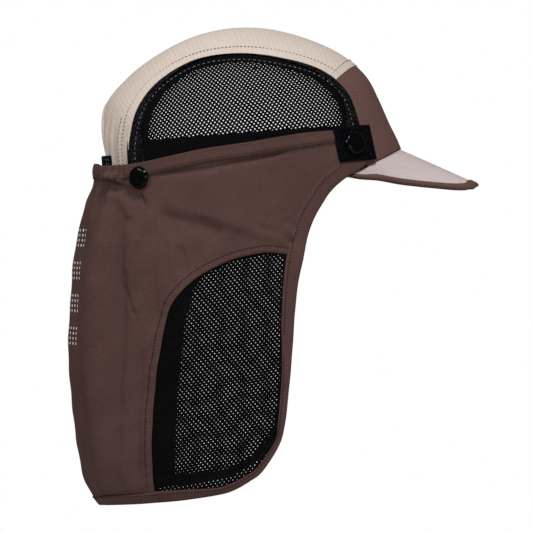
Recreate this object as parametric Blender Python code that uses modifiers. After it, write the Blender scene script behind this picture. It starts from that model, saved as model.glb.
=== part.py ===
"""A soft five-panel cap with a neck cape: thin cloth shells laid on one crown form, joined by four snaps.

The front of the cap points along +X, the wearer's left is +Y, up is +Z, and the origin is the
middle of the head opening. Lengths are in metres. Side-view tables give shares of named sizes.
"""

import math

import bmesh
import bpy
import numpy as np
from mathutils import Matrix, Vector

# The crown
CROWN_REACH = 0.106  # from the middle of the head opening to the front of the crown
CROWN_HALF_WIDTH = 0.080
CROWN_FULLNESS = 2.4  # power of the cross-section: 2 is round, more is boxier
RIM_SLOPE = 0.073  # rise of the rim line toward the front
PEAK_SEAM_SLOPE = 0.50  # extra steepness of the rim where the peak is sewn on
CROWN_WALL = 0.0010
SEAM_GAP = 0.0004  # left between pieces that share a seam
BINDING_WIDTH = 0.0085
BINDING_END_WIDTH = 0.0130  # wider at the rim, where the snaps go through it

# The opening at the back and the strap over it
VENT_HALF_WIDTH = 0.032
VENT_TOP = 0.052
STRAP_WIDTH = 0.022
STRAP_MIDDLE = 0.008
STRAP_HALF_LENGTH = 0.040
STRAP_WALL = 0.0010

# The sweatband
SWEATBAND_HEIGHT = 0.034
SWEATBAND_WALL = 0.0010
SWEATBAND_INSET = 0.0026

# The peak
PEAK_LENGTH = 0.0530  # from the crown's front to the tip
PEAK_HALF_WIDTH = 0.069
PEAK_FALL = 0.0247  # drop of the middle line from the crown to the tip
PEAK_CURL = 0.038  # drop of the outer ends below the middle line
PEAK_CURL_POWER = 3.5
PEAK_WALL = 0.0016
PEAK_EDGING_WIDTH = 0.0053
PEAK_EDGING_WALL = 0.0021

# The neck cape
CAPE_DROP = 0.2186  # from the head opening down to the lowest point
CAPE_REACH = 0.1255  # from the middle of the head opening to the cape's fullest place behind
CAPE_HALF_WIDTH = 0.0825
CAPE_WALL = 0.0010
CAPE_CLEARANCE = 0.0021  # the cape's outer face over the crown at the sides
CAPE_BACK_CLEARANCE = 0.0050  # and over the strap behind
CAPE_BAND_WIDTH = 0.010
GATHER_DEPTH = 0.0011
GATHER_COUNT = 40  # waves in a full turn
FOLD_DEPTH = 0.0030

# The webbing tabs and the snaps
TAB_LENGTH = 0.0245
TAB_HEIGHT = 0.0233
TAB_TILT = math.radians(4.8)  # rise of its upper and lower edges toward the front
TAB_LEAN = math.radians(11.5)  # lean of its ends
TAB_SHIFT = 0.0014  # its middle is this far in front of the snap
TAB_RISE = 0.0012  # and this far above it
TAB_WALL = 0.0013
TAB_CLEARANCE = 0.0004
SNAP_RADIUS = 0.0075
SNAP_HEIGHT = 0.0034
SNAP_POST_RADIUS = 0.0022
SNAP_FLANGE_RADIUS = 0.0040
SNAP_HOLE_RADIUS = 0.0026
SNAP_CLEARANCE = 0.0003

# Mid-line of the crown: angle up from the front, reach as a share of CROWN_REACH
CROWN_LINE = (
    (0, 1.000), (14, 0.976), (25, 0.958), (34, 0.973), (43, 1.002), (53, 1.006), (68, 0.995),
    (90, 1.000), (108, 1.014), (124, 1.030), (140, 1.056), (152, 1.068), (161, 1.030),
    (171, 0.968), (190, 0.952),
)
# Seam between the middle strip and the side: angle up from the front, share of the mid-line's reach
ARCH_LINE = (
    (0, 0.700), (9, 0.725), (20, 0.765), (30, 0.795), (42, 0.818), (58, 0.830), (80, 0.810),
    (98, 0.820), (120, 0.842), (140, 0.824), (154, 0.790), (170, 0.805), (190, 0.815),
)
# Binding beside that seam: angle up from the front, share of the way to its end width
BINDING_SPREAD = ((0, 1), (16, 1), (32, 0), (158, 0), (174, 1), (190, 1))
FRONT_SEAM_ANGLE = math.radians(49.5)
RIM_BACK_ANGLE = math.radians(184.2)

# Peak outline: share of the way from the middle to the end, share of PEAK_LENGTH forward of the
# crown, share of PEAK_HALF_WIDTH
PEAK_OUTLINE = (
    (0.00, 0.990, 0.000), (0.18, 0.983, 0.174), (0.35, 0.962, 0.350), (0.50, 0.926, 0.510),
    (0.62, 0.877, 0.623), (0.75, 0.632, 0.754), (0.84, 0.290, 0.849), (0.895, 0.028, 0.899),
    (0.945, -0.245, 0.935), (0.983, -0.519, 0.977), (1.00, -0.689, 0.997),
)

# Hanging cape: share of CAPE_DROP below the head opening, shares of CAPE_REACH and CAPE_HALF_WIDTH
CAPE_SECTIONS = (
    (-0.20, 0.835, 0.985), (0.00, 0.872, 0.985), (0.05, 0.896, 0.990), (0.14, 0.942, 1.000),
    (0.24, 0.973, 1.010), (0.36, 0.991, 1.015), (0.52, 1.000, 1.010), (0.72, 0.976, 0.995),
    (0.86, 0.937, 0.975), (0.92, 0.912, 0.968), (1.00, 0.836, 0.950), (1.10, 0.800, 0.945),
)
# Top edge of the cape: forward share of CROWN_REACH, share of CAPE_DROP below the head opening,
# share of CAPE_BAND_WIDTH
CAPE_TOP = (
    (0.700, -0.168, 0.68), (0.620, -0.165, 0.72), (0.498, -0.160, 0.85), (0.295, -0.150, 1.0),
    (-0.009, -0.125, 1.0), (-0.327, -0.102, 1.0), (-0.532, -0.081, 1.0), (-0.723, -0.062, 1.0),
    (-0.898, -0.056, 1.0), (-1.300, -0.065, 1.0),
)
# The hem down the front and round the bottom: outer edge, then its inner line, each as a forward
# share of CROWN_REACH and a share of CAPE_DROP below the head opening
HEM_LINE = (
    (0.680, -0.135, 0.560, -0.135), (0.727, -0.068, 0.566, -0.092), (0.581, -0.016, 0.527, -0.050),
    (0.507, 0.014, 0.442, -0.017), (0.447, 0.052, 0.373, 0.027), (0.376, 0.116, 0.293, 0.099),
    (0.313, 0.232, 0.225, 0.215), (0.281, 0.309, 0.201, 0.304), (0.265, 0.386, 0.191, 0.385),
    (0.255, 0.448, 0.188, 0.448), (0.234, 0.583, 0.187, 0.583), (0.204, 0.718, 0.163, 0.718),
    (0.163, 0.791, 0.141, 0.778), (0.063, 0.867, 0.034, 0.856), (-0.021, 0.899, -0.047, 0.885),
    (-0.121, 0.927, -0.137, 0.908), (-0.221, 0.941, -0.221, 0.920), (-0.409, 0.956, -0.409, 0.927),
    (-0.610, 0.968, -0.610, 0.936), (-0.820, 0.980, -0.820, 0.949), (-1.300, 1.000, -1.300, 0.968),
)
HEM_INSET_TOP = 6
HEM_INSET_LOW = 14
HEM_INSET_BACK = 18
# The mesh inset's seam, from its front corner back and down: forward share, share of the drop
INSET_SEAM = (
    (0.225, 0.215), (0.098, 0.209), (-0.009, 0.216), (-0.116, 0.229), (-0.224, 0.252),
    (-0.330, 0.281), (-0.422, 0.320), (-0.492, 0.361), (-0.534, 0.410), (-0.578, 0.526),
    (-0.602, 0.604), (-0.622, 0.721), (-0.624, 0.839), (-0.610, 0.936),
)
INSET_CORNER = 6
SIDE_COLUMNS = 13  # threads from the front to where the gathers start
SEAM_COLUMNS = 6  # threads of the brown cloth that end on the inset's top seam
CLOTH_CORNER_DROP = 0.34  # how low the thread through that corner lies at the middle of the back
# Soft folds: turn from the front, half-width, in degrees; top and bottom as shares of CAPE_DROP;
# share of FOLD_DEPTH, outward where positive
FOLDS = (
    (129, 6, 0.04, 0.22, -0.9), (138, 6, 0.02, 0.34, 0.6), (146, 6, 0.05, 0.85, -0.7),
    (155, 6, 0.05, 1.20, 0.9), (167, 7, 0.06, 1.20, -0.8), (117, 8, 0.20, 1.20, 0.5),
    (70, 14, 0.06, 0.26, -0.5),
)
GATHERS_START = math.radians(143)
# The snaps: forward share of CROWN_REACH, share of CAPE_DROP below the head opening
FRONT_SNAP = (0.613, -0.1160)
REAR_SNAP = (-0.692, -0.0175)

COLOURS = {
    "beige ripstop": ((0.66, 0.57, 0.49, 1), 0.75),
    "grey beige ripstop": ((0.52, 0.46, 0.44, 1), 0.75),
    "brown nylon": ((0.085, 0.050, 0.044, 1), 0.60),
    "brown panel": ((0.115, 0.062, 0.052, 1), 0.60),
    "black mesh": ((0.012, 0.012, 0.014, 1), 0.80),
    "black webbing": ((0.010, 0.010, 0.011, 1), 0.85),
    "black gloss": ((0.004, 0.004, 0.005, 1), 0.15),
}


# Smooth lines through a table's rows
def along(rows, at, column=1):
    """A column of a table read at values of its first column, on a smooth line through the rows."""
    table = np.array(rows, float)
    x = table[:, 0]
    y = table[:, column]
    slope = np.gradient(y, x)
    at = np.clip(np.asarray(at, float), x[0], x[-1])
    i = np.clip(np.searchsorted(x, at, side="right") - 1, 0, len(x) - 2)
    step = x[i + 1] - x[i]
    t = (at - x[i]) / step
    start = (1 + 2 * t) * (1 - t) ** 2 * y[i] + t * (1 - t) ** 2 * step * slope[i]
    end = t * t * (3 - 2 * t) * y[i + 1] + t * t * (t - 1) * step * slope[i + 1]
    return start + end


def ease(x, start, end):
    t = np.clip((np.asarray(x, float) - start) / (end - start), 0, 1)
    return t * t * (3 - 2 * t)


# The crown form
def line_reach(angle):
    """Reach of the crown's mid-line at an angle up from the front, the same below the rim as above."""
    return CROWN_REACH * along(CROWN_LINE, np.degrees(angle))


def arch_share(angle):
    return along(ARCH_LINE, np.degrees(angle))


def side_of(share):
    """How far out from the mid-plane the crown lies at a share of the mid-line's reach."""
    power = CROWN_FULLNESS
    return CROWN_HALF_WIDTH * np.clip(1 - np.clip(share, 0, 1) ** power, 0, 1) ** (1 / power)


def share_at(side):
    """Share of the mid-line's reach at a distance from the mid-plane."""
    power = CROWN_FULLNESS
    out = np.clip(np.abs(side) / CROWN_HALF_WIDTH, 0, 1)
    return np.clip(1 - out**power, 0, 1) ** (1 / power)


def crown_share(x, z):
    return np.hypot(x, z) / line_reach(np.arctan2(np.abs(z), x))


def crown_radius(turn, z):
    """Distance from the upright axis to the crown, at a turn from the front and a height."""
    low = np.zeros(np.broadcast(turn, z).shape)
    high = low + 0.2
    for _ in range(34):
        middle = (low + high) / 2
        x = middle * np.cos(turn)
        y = middle * np.sin(turn)
        share = crown_share(x, z)
        inside = share**CROWN_FULLNESS + np.abs(y / CROWN_HALF_WIDTH) ** CROWN_FULLNESS < 1
        low = np.where(inside, middle, low)
        high = np.where(inside, high, middle)
    return (low + high) / 2


def rim_height(x):
    """Height of the rim line, steeper where the peak is sewn on."""
    start = 0.585 * CROWN_REACH
    return RIM_SLOPE * x + (PEAK_SEAM_SLOPE - RIM_SLOPE) * np.maximum(x - start, 0)


def rim_angle(share):
    """Angle up from the front at which a line of constant share meets the rim in front."""
    low = np.zeros(np.shape(share))
    high = low + 0.5
    for _ in range(30):
        middle = (low + high) / 2
        reach = share * line_reach(middle)
        above = reach * np.sin(middle) > rim_height(reach * np.cos(middle))
        high = np.where(above, middle, high)
        low = np.where(above, low, middle)
    return (low + high) / 2


def on_crown(angle, side):
    """A crown point from the angle up from the front and the distance from the mid-plane."""
    reach = share_at(side) * line_reach(angle)
    return np.stack([reach * np.cos(angle), side + 0 * reach, reach * np.sin(angle)], -1)


# The cape form
def cape_radius(turn, z):
    """Distance from the upright axis to the cape's outer face, without its folds."""
    behind = ease(np.degrees(turn), 135, 163)
    over = CAPE_CLEARANCE + (CAPE_BACK_CLEARANCE - CAPE_CLEARANCE) * behind
    worn = crown_radius(turn, np.maximum(z, -0.03 * CAPE_DROP)) + over
    drop = -z / CAPE_DROP
    back = CAPE_REACH * along(CAPE_SECTIONS, drop)
    half = CAPE_HALF_WIDTH * along(CAPE_SECTIONS, drop, 2)
    x = np.cos(turn)
    y = np.sin(turn)
    power = CROWN_FULLNESS
    reach = np.where(x < 0, back, CROWN_REACH)
    hung = (np.abs(x / reach) ** power + np.abs(y / half) ** power) ** (-1 / power)
    hanging = ease(drop, 0.02 - 0.06 * behind, 0.16 - 0.10 * behind)
    return worn * (1 - hanging) + hung * hanging


def cape_folds(turn, z):
    """How far the cloth stands out in its folds and in the gathers behind."""
    drop = -z / CAPE_DROP
    degrees = np.degrees(turn)
    out = 0 * degrees * drop
    for middle, width, top, bottom, depth in FOLDS:
        across = np.exp(-(((degrees - middle) / width) ** 2))
        down = ease(drop, top, top + 0.12) * (1 - ease(drop, bottom - 0.12, bottom))
        out = out + depth * FOLD_DEPTH * across * down
    gathered = ease(turn, GATHERS_START, GATHERS_START + 0.2) * (1 - ease(drop, 0.02, 0.22))
    return out + GATHER_DEPTH * gathered * np.cos(GATHER_COUNT * turn)


def on_cape(turn, z, side=-1):
    """A point of the cape's outer face; side is -1 for the wearer's right and 1 for the left."""
    radius = cape_radius(turn, z) + cape_folds(turn, z)
    return np.stack([radius * np.cos(turn), side * radius * np.sin(turn), z + 0 * radius], -1)


def cape_turn(x, z):
    """Turn from the front at which the cape is this far forward at a height."""
    low = np.zeros(np.broadcast(x, z).shape)
    high = low + math.pi
    for _ in range(34):
        middle = (low + high) / 2
        ahead = cape_radius(middle, z) * np.cos(middle) > x
        low = np.where(ahead, middle, low)
        high = np.where(ahead, high, middle)
    return (low + high) / 2


def placed(forward, drop):
    """Turns from the front and heights for side-view shares."""
    z = -CAPE_DROP * np.asarray(drop, float)
    return np.stack([cape_turn(CROWN_REACH * np.asarray(forward, float), z), z], -1)


def at_rows(points, rows):
    """Points read between the rows of a line, on a smooth curve through them."""
    numbered = np.column_stack([np.arange(len(points)), points])
    return np.stack([along(numbered, rows, 1), along(numbered, rows, 2)], -1)


def band_edges(turn):
    """Heights of the upper and lower edge of the channel along the top of the cape."""
    table = np.array(CAPE_TOP)
    line = placed(table[:, 0], table[:, 1])
    line = np.column_stack([line, CAPE_BAND_WIDTH * table[:, 2]])
    top = along(line, turn, 1)
    return top, top - along(line, turn, 2)


def both_sides(half):
    """Rows of turns and heights from an edge to the middle of the back, made into rows round to the other edge."""
    right = on_cape(half[..., 0], half[..., 1], -1)
    left = on_cape(half[..., 0], half[..., 1], 1)[:, -2::-1]
    right[:, -1, 1] = 0
    return np.concatenate([right, left], axis=1)


def patch(top, bottom, left, right):
    """Turns and heights spread between four border lines that meet at their ends."""
    across = np.linspace(0, 1, len(top))[None, :, None]
    down = np.linspace(0, 1, len(left))[:, None, None]
    between = (1 - down) * top[None] + down * bottom[None]
    between = between + (1 - across) * left[:, None] + across * right[:, None]
    corners = (1 - down) * ((1 - across) * top[0] + across * top[-1])
    return between - corners - down * ((1 - across) * bottom[0] + across * bottom[-1])


# Making objects
def clear_scene():
    for old in list(bpy.data.objects):
        bpy.data.objects.remove(old, do_unlink=True)


def new_collection(name, hidden=False):
    made = bpy.data.collections.new(name)
    bpy.context.scene.collection.children.link(made)
    made.hide_render = hidden
    return made


def new_material(part, name):
    colour, roughness = COLOURS[name]
    made = bpy.data.materials.new(part + " " + name)
    made.use_nodes = True
    shader = made.node_tree.nodes["Principled BSDF"]
    shader.inputs["Base Color"].default_value = colour
    shader.inputs["Roughness"].default_value = roughness
    made.diffuse_color = colour
    return made


def add_object(name, mesh, material, collection):
    made = bpy.data.objects.new(name, mesh)
    mesh.materials.append(new_material(name, material))
    mesh.shade_smooth()
    mesh.set_sharp_from_angle(angle=math.radians(50))
    collection.objects.link(made)
    return made


def drawn_in(points, gap):
    """The grid with each border moved in, so that pieces that share a seam don't touch."""
    points = points.copy()
    for border, inner in (((0,), (1,)), ((-1,), (-2,)), ((slice(None), 0), (slice(None), 1)),
                          ((slice(None), -1), (slice(None), -2))):
        way = points[inner] - points[border]
        points[border] += gap * way / np.maximum(np.linalg.norm(way, axis=-1, keepdims=True), 1e-6)
    return points


def cloth(name, points, material, wall, collection, inner_point=(0, 0, 0), offset=-1,
          gap=SEAM_GAP / 2, notch=None):
    """A shell over a grid of points, with its wall on the side toward inner_point.

    A notch is a row and a column: past that row, the grid has no cloth up to that column at either end.
    """
    points = drawn_in(points, gap)
    high, wide = points.shape[:2]
    first_row, columns = notch or (high, 0)
    work = bmesh.new()
    made = {}

    def corner(i, j):
        if (i, j) not in made:
            made[i, j] = work.verts.new(points[i, j])
        return made[i, j]

    outward = 0
    for i in range(high - 1):
        spared = columns if i >= first_row else 0
        for j in range(spared, wide - 1 - spared):
            ring = (corner(i, j), corner(i, j + 1), corner(i + 1, j + 1), corner(i + 1, j))
            face = work.faces.new(ring)
            face.normal_update()
            outward += face.normal.dot(face.calc_center_median() - Vector(inner_point))
    if outward < 0:
        bmesh.ops.reverse_faces(work, faces=work.faces)
    mesh = bpy.data.meshes.new(name)
    work.to_mesh(mesh)
    work.free()
    piece = add_object(name, mesh, material, collection)
    shell = piece.modifiers.new("wall", "SOLIDIFY")
    shell.thickness = wall
    shell.offset = offset
    shell.use_even_offset = True
    return piece


def cut(made, cutters):
    hole = made.modifiers.new("opening", "BOOLEAN")
    hole.operation = "DIFFERENCE"
    hole.solver = "EXACT"
    hole.operand_type = "COLLECTION"
    hole.collection = cutters


def crown_frame(place, side):
    """A crown point seen from the side, with its outward normal as the local Z of a matrix."""
    x = CROWN_REACH * place[0]
    z = -CAPE_DROP * place[1]
    y = float(side_of(crown_share(x, z)))
    step = 1e-4

    def inside(px, py, pz):
        share = crown_share(px, pz)
        return float(share**CROWN_FULLNESS + (py / CROWN_HALF_WIDTH) ** CROWN_FULLNESS)

    normal = Vector((
        inside(x + step, y, z) - inside(x - step, y, z),
        inside(x, y + step, z) - inside(x, y - step, z),
        inside(x, y, z + step) - inside(x, y, z - step),
    )).normalized()
    normal.y *= side
    turned = normal.to_track_quat("Z", "Y").to_matrix().to_4x4()
    return Matrix.Translation((x, side * y, z)) @ turned


def cape_over(frame):
    """How high the cape's outer face stands over the crown at a crown point, along its normal."""
    x, y, z = frame.translation
    turn = math.atan2(abs(y), x)
    apart = float(cape_radius(turn, z) + np.abs(cape_folds(turn, z))) - math.hypot(x, y)
    away = Vector((x, y, 0)).normalized()
    return apart * away.dot(frame.col[2].to_3d())


def snap(name, place, side, extra, collection):
    """One turned rivet: a domed cap outside, a post through the cloth and a flange inside."""
    frame = crown_frame(place, side)
    base = cape_over(frame) + extra + SNAP_CLEARANCE
    flange = -CROWN_WALL - SNAP_CLEARANCE
    profile = [(0.0, base + SNAP_HEIGHT)]
    for step in range(1, 6):
        lean = math.radians(18 * step)
        height = base + 0.25 * SNAP_HEIGHT + 0.75 * SNAP_HEIGHT * math.cos(lean)
        profile.append((SNAP_RADIUS * math.sin(lean), height))
    profile += [
        (0.97 * SNAP_RADIUS, base),
        (SNAP_POST_RADIUS, base),
        (SNAP_POST_RADIUS, flange),
        (SNAP_FLANGE_RADIUS, flange),
        (SNAP_FLANGE_RADIUS, flange - 0.7 * CROWN_WALL),
        (0.0, flange - 0.7 * CROWN_WALL),
    ]
    work = bmesh.new()
    points = [work.verts.new((r, 0, h)) for r, h in profile]
    for first, second in zip(points, points[1:]):
        work.edges.new((first, second))
    mesh = bpy.data.meshes.new(name)
    work.to_mesh(mesh)
    work.free()
    made = add_object(name, mesh, "black gloss", collection)
    made.matrix_world = frame
    turned = made.modifiers.new("turned", "SCREW")
    turned.steps = 16
    turned.render_steps = 16
    turned.use_merge_vertices = True
    turned.merge_threshold = 0.00005
    return made


def round_cutter(name, matrix, length, collection):
    work = bmesh.new()
    bmesh.ops.create_cone(work, cap_ends=True, segments=16, radius1=1, radius2=1, depth=length)
    mesh = bpy.data.meshes.new(name)
    work.to_mesh(mesh)
    work.free()
    made = bpy.data.objects.new(name, mesh)
    mesh.transform(matrix)
    made.hide_render = True
    made.display_type = "WIRE"
    collection.objects.link(made)


# The pieces
def build_crown(cap, vent):
    """The middle strip, the front panel, the bindings and the mesh sides."""
    def over_the_top(first, last, high):
        across = np.linspace(-1, 1, 13)
        rows = []
        for t in np.linspace(0, 1, high):
            angle = first + t * (last - first)
            edge = side_of(arch_share(angle))
            rows.append(on_crown(angle, across * edge))
        return np.array(rows)

    across = np.linspace(-1, 1, 13)
    low_share = share_at(across * side_of(arch_share(0.17)))
    strip = cloth("crown_strip", over_the_top(FRONT_SEAM_ANGLE, RIM_BACK_ANGLE, 25),
                  "beige ripstop", CROWN_WALL, cap)
    cut(strip, vent)
    cloth("front_panel", over_the_top(rim_angle(low_share), FRONT_SEAM_ANGLE, 9),
          "brown panel", CROWN_WALL, cap)

    spread = np.linspace(0, 1, 33)
    for side, word in ((-1, "right"), (1, "left")):
        def on_side(share, angle, side=side):
            reach = share * line_reach(angle)
            y = side * side_of(share)
            return np.stack([reach * np.cos(angle), y, reach * np.sin(angle)], -1)

        def arch(inward):
            """The arch line moved in by a share of the binding's width."""
            start = 0.15
            for _ in range(4):
                share = arch_share(start) - inward * binding_width(start) / line_reach(start)
                start = float(rim_angle(share))
            angle = start + spread * (RIM_BACK_ANGLE - start)
            return arch_share(angle) - inward * binding_width(angle) / line_reach(angle), angle

        rows = [on_side(*arch(inward)) for inward in (0, 0.5, 1)]
        cut(cloth("binding_" + word, np.array(rows), "black webbing", CROWN_WALL, cap), SNAP_HOLES)
        share, angle = arch(1)
        reach = share * line_reach(angle)
        line = np.column_stack([reach * np.cos(angle), reach * np.sin(angle)])
        front, top, back = line[8::-1], line[24:7:-1], line[24:]
        x = np.linspace(back[-1, 0], front[-1, 0], len(top))
        low = np.column_stack([x, rim_height(x)])
        inner = patch(top, low, back, front)
        y = side * side_of(crown_share(inner[..., 0], inner[..., 1]))
        points = np.stack([inner[..., 0], y, inner[..., 1]], -1)
        cloth("side_mesh_" + word, points, "black mesh", CROWN_WALL, cap)


def binding_width(angle):
    ends = along(BINDING_SPREAD, np.degrees(angle))
    return BINDING_WIDTH + ends * (BINDING_END_WIDTH - BINDING_WIDTH)


def build_sweatband(cap):
    turn = np.linspace(-158, 158, 41) * math.pi / 180
    rows = []
    for t in (0, 0.12, 0.5, 1):
        z = 0 * turn
        for _ in range(6):
            radius = crown_radius(turn, z)
            z = rim_height(radius * np.cos(turn)) + t * SWEATBAND_HEIGHT
        inset = CROWN_WALL + SEAM_GAP + (SWEATBAND_INSET - CROWN_WALL) * ease(t, 0, 0.12)
        radius = crown_radius(turn, z) - inset
        rows.append(np.stack([radius * np.cos(turn), radius * np.sin(turn), z], -1))
    cloth("sweatband", np.array(rows), "black webbing", SWEATBAND_WALL, cap)


def build_strap(cap):
    reach = math.asin(STRAP_HALF_LENGTH / CROWN_REACH)
    turn = math.pi + np.linspace(-reach, reach, 17)
    rows = []
    for z in STRAP_MIDDLE + np.linspace(-0.5, 0.5, 5) * STRAP_WIDTH:
        radius = crown_radius(turn, z) + STRAP_WALL + SEAM_GAP
        rows.append(np.stack([radius * np.cos(turn), radius * np.sin(turn), z + 0 * turn], -1))
    cloth("back_strap", np.array(rows), "black webbing", STRAP_WALL, cap)


def build_peak(cap):
    """The peak from the crown's front seam to its outline, with the bound edge along it."""
    s = np.linspace(-1, 1, 31)
    side = s * (PEAK_HALF_WIDTH - 0.0026)
    share = share_at(side)
    rear = on_crown(rim_angle(share), side)
    rear[:, 2] -= SEAM_GAP
    rear[:, 0] -= 0.3 * CROWN_WALL
    nose = float(on_crown(rim_angle(share_at(0.0)), np.array(0.0))[0])
    seam = float(rim_height(nose))

    def surface(x, y):
        middle = seam - PEAK_FALL * (x - nose) / PEAK_LENGTH
        return middle - PEAK_CURL * np.abs(y / PEAK_HALF_WIDTH) ** PEAK_CURL_POWER

    tip = np.stack([
        nose + PEAK_LENGTH * along(PEAK_OUTLINE, np.abs(s)),
        np.sign(s) * PEAK_HALF_WIDTH * along(PEAK_OUTLINE, np.abs(s), 2),
    ], -1)
    back = rear[:, :2] - tip
    length = np.linalg.norm(back, axis=-1, keepdims=True)
    inner = tip + back / length * np.minimum(PEAK_EDGING_WIDTH, 0.45 * length)
    lift = rear[:, 2] - surface(rear[:, 0], rear[:, 1])

    def row(start, end, t):
        flat = start + t * (end - start)
        left_over = np.linalg.norm(flat - tip, axis=-1) / length[:, 0]
        z = surface(flat[:, 0], flat[:, 1]) + lift * left_over**2
        return np.column_stack([flat, z])

    far_below = (0.8 * CROWN_REACH, 0, -3 * CROWN_REACH)
    rows = [row(rear[:, :2], inner, t) for t in np.linspace(0, 1, 6)]
    cloth("peak", np.array(rows), "grey beige ripstop", PEAK_WALL, cap, far_below, gap=SEAM_GAP)
    rows = [row(inner, tip, t) for t in (0, 0.5, 1)]
    edging = np.array(rows) + np.array([0, 0, (PEAK_EDGING_WALL - PEAK_WALL) / 2])
    cloth("peak_edging", edging, "brown nylon", PEAK_EDGING_WALL, cap, far_below, gap=1.3 * SEAM_GAP)


def build_cape(cap):
    hem = np.array(HEM_LINE)
    hem_outer = placed(hem[:, 0], hem[:, 1])
    hem_inner = placed(hem[:, 2], hem[:, 3])
    for line in (hem_outer, hem_inner):
        line[0, 1] = band_edges(line[0, 0])[1]
    seam = np.array(INSET_SEAM)
    seam_line = placed(seam[:, 0], seam[:, 1])

    def spread_back(start):
        """Turns from an edge to the middle of the back, closer together in the gathers."""
        start = np.asarray(start)[..., None]
        sides = start + (GATHERS_START - start) * np.linspace(0, 1, SIDE_COLUMNS)
        behind = np.linspace(GATHERS_START, math.pi, 16)[1:] + 0 * start
        return np.concatenate([sides, behind], -1)

    turn = spread_back(placed(CAPE_TOP[0][0], CAPE_TOP[0][1])[0])
    top, low = band_edges(turn)
    band = [np.stack([turn, top + t * (low - top)], -1) for t in (0, 0.5, 1)]
    cut(cloth("cape_top_band", both_sides(np.array(band)), "brown nylon", CAPE_WALL, cap,
              gap=SEAM_GAP), SNAP_HOLES)

    rows = np.linspace(0, len(hem) - 1, 31)
    inner = at_rows(hem_inner, rows)
    outer = at_rows(hem_outer, rows)
    half = np.array([inner + t * (outer - inner) for t in (0, 0.5, 1)])
    cut(cloth("cape_hem", both_sides(half), "brown nylon", CAPE_WALL, cap, gap=SEAM_GAP), SNAP_HOLES)

    # The brown cloth: an upper part down to the inset's top seam, and a lower part behind the inset
    turn = spread_back(hem_inner[0, 0])
    under_band = np.stack([turn, band_edges(turn)[1]], -1)
    along_seam = at_rows(seam_line, np.linspace(0, INSET_CORNER, SEAM_COLUMNS + 1))
    corner = along_seam[-1]
    beyond = spread_back(corner[0])
    beyond = np.concatenate([np.linspace(corner[0], GATHERS_START, SIDE_COLUMNS - SEAM_COLUMNS), beyond[SIDE_COLUMNS:]])
    way = (beyond - corner[0]) / (math.pi - corner[0])
    thread = np.stack([beyond, corner[1] + way * (-CAPE_DROP * CLOTH_CORNER_DROP - corner[1])], -1)
    shared = np.concatenate([along_seam, thread[1:]])
    front = at_rows(hem_inner, np.linspace(0, HEM_INSET_TOP, 10))
    spine = np.linspace(0, 1, 10)[:, None] * (shared[-1] - under_band[-1]) + under_band[-1]
    upper = patch(under_band, shared, front, spine)
    low_edge = at_rows(hem_inner, np.linspace(HEM_INSET_BACK, len(hem) - 1, len(thread)))
    inset_back = at_rows(seam_line, np.linspace(INSET_CORNER, len(seam) - 1, 13))
    spine = np.linspace(0, 1, 13)[:, None] * (low_edge[-1] - thread[-1]) + thread[-1]
    lower = patch(thread, low_edge, inset_back, spine)
    spare = np.repeat(lower[:, :1], SEAM_COLUMNS, axis=1)
    grid = np.concatenate([upper, np.concatenate([spare, lower], axis=1)[1:]])
    cut(cloth("cape_body", both_sides(grid), "brown nylon", CAPE_WALL, cap, gap=0,
              notch=(len(upper) - 1, SEAM_COLUMNS)), SNAP_HOLES)

    top = at_rows(seam_line, np.linspace(INSET_CORNER, 0, SEAM_COLUMNS + 1))
    back = at_rows(seam_line, np.linspace(INSET_CORNER, len(seam) - 1, 13))
    front = at_rows(hem_inner, np.linspace(HEM_INSET_TOP, HEM_INSET_LOW, 13))
    low = at_rows(hem_inner, np.linspace(HEM_INSET_BACK, HEM_INSET_LOW, SEAM_COLUMNS + 1))
    inset = patch(top, low, back, front)
    for side, word in ((-1, "right"), (1, "left")):
        points = on_cape(inset[..., 0], inset[..., 1], side)
        cloth("cape_mesh_" + word, points, "black mesh", CAPE_WALL, cap, gap=SEAM_GAP)


def build_fastenings(cap):
    """The webbing tabs at the front of the cape and the four snaps."""
    across = np.linspace(-0.5, 0.5, 7) * TAB_LENGTH
    up = np.linspace(-0.5, 0.5, 7)[:, None] * TAB_HEIGHT
    x = CROWN_REACH * FRONT_SNAP[0] + TAB_SHIFT + across - up * math.tan(TAB_LEAN)
    z = -CAPE_DROP * FRONT_SNAP[1] + TAB_RISE + up + across * math.tan(TAB_TILT)
    turn = cape_turn(x, z)
    radius = cape_radius(turn, z) + TAB_CLEARANCE + TAB_WALL
    for side, word in ((-1, "right"), (1, "left")):
        points = np.stack([radius * np.cos(turn), side * radius * np.sin(turn), z], -1)
        cut(cloth("tab_" + word, points, "black webbing", TAB_WALL, cap), SNAP_HOLES)
        snap("snap_front_" + word, FRONT_SNAP, side, TAB_CLEARANCE + TAB_WALL, cap)
        snap("snap_rear_" + word, REAR_SNAP, side, 0, cap)


clear_scene()
CAP = new_collection("cap with neck cape")
CUTTERS = new_collection("cutters", hidden=True)
VENT = bpy.data.collections.new("vent")
SNAP_HOLES = bpy.data.collections.new("snap holes")
CUTTERS.children.link(VENT)
CUTTERS.children.link(SNAP_HOLES)

bottom = float(RIM_SLOPE * -CROWN_REACH)
across_x = Matrix.Rotation(math.pi / 2, 4, "Y")
arch = Matrix.Diagonal((1, VENT_HALF_WIDTH, VENT_TOP - bottom, 1))
middle = Matrix.Translation((-CROWN_REACH, 0, bottom))
round_cutter("vent_cutter", middle @ arch @ across_x, 0.7 * CROWN_REACH, VENT)
hole = Matrix.Diagonal((SNAP_HOLE_RADIUS, SNAP_HOLE_RADIUS, 1, 1))
for side, word in ((-1, "right"), (1, "left")):
    for place, where in ((FRONT_SNAP, "front"), (REAR_SNAP, "rear")):
        name = "hole_" + where + "_" + word
        round_cutter(name, crown_frame(place, side) @ hole, 12 * SNAP_HEIGHT / 2, SNAP_HOLES)

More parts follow.
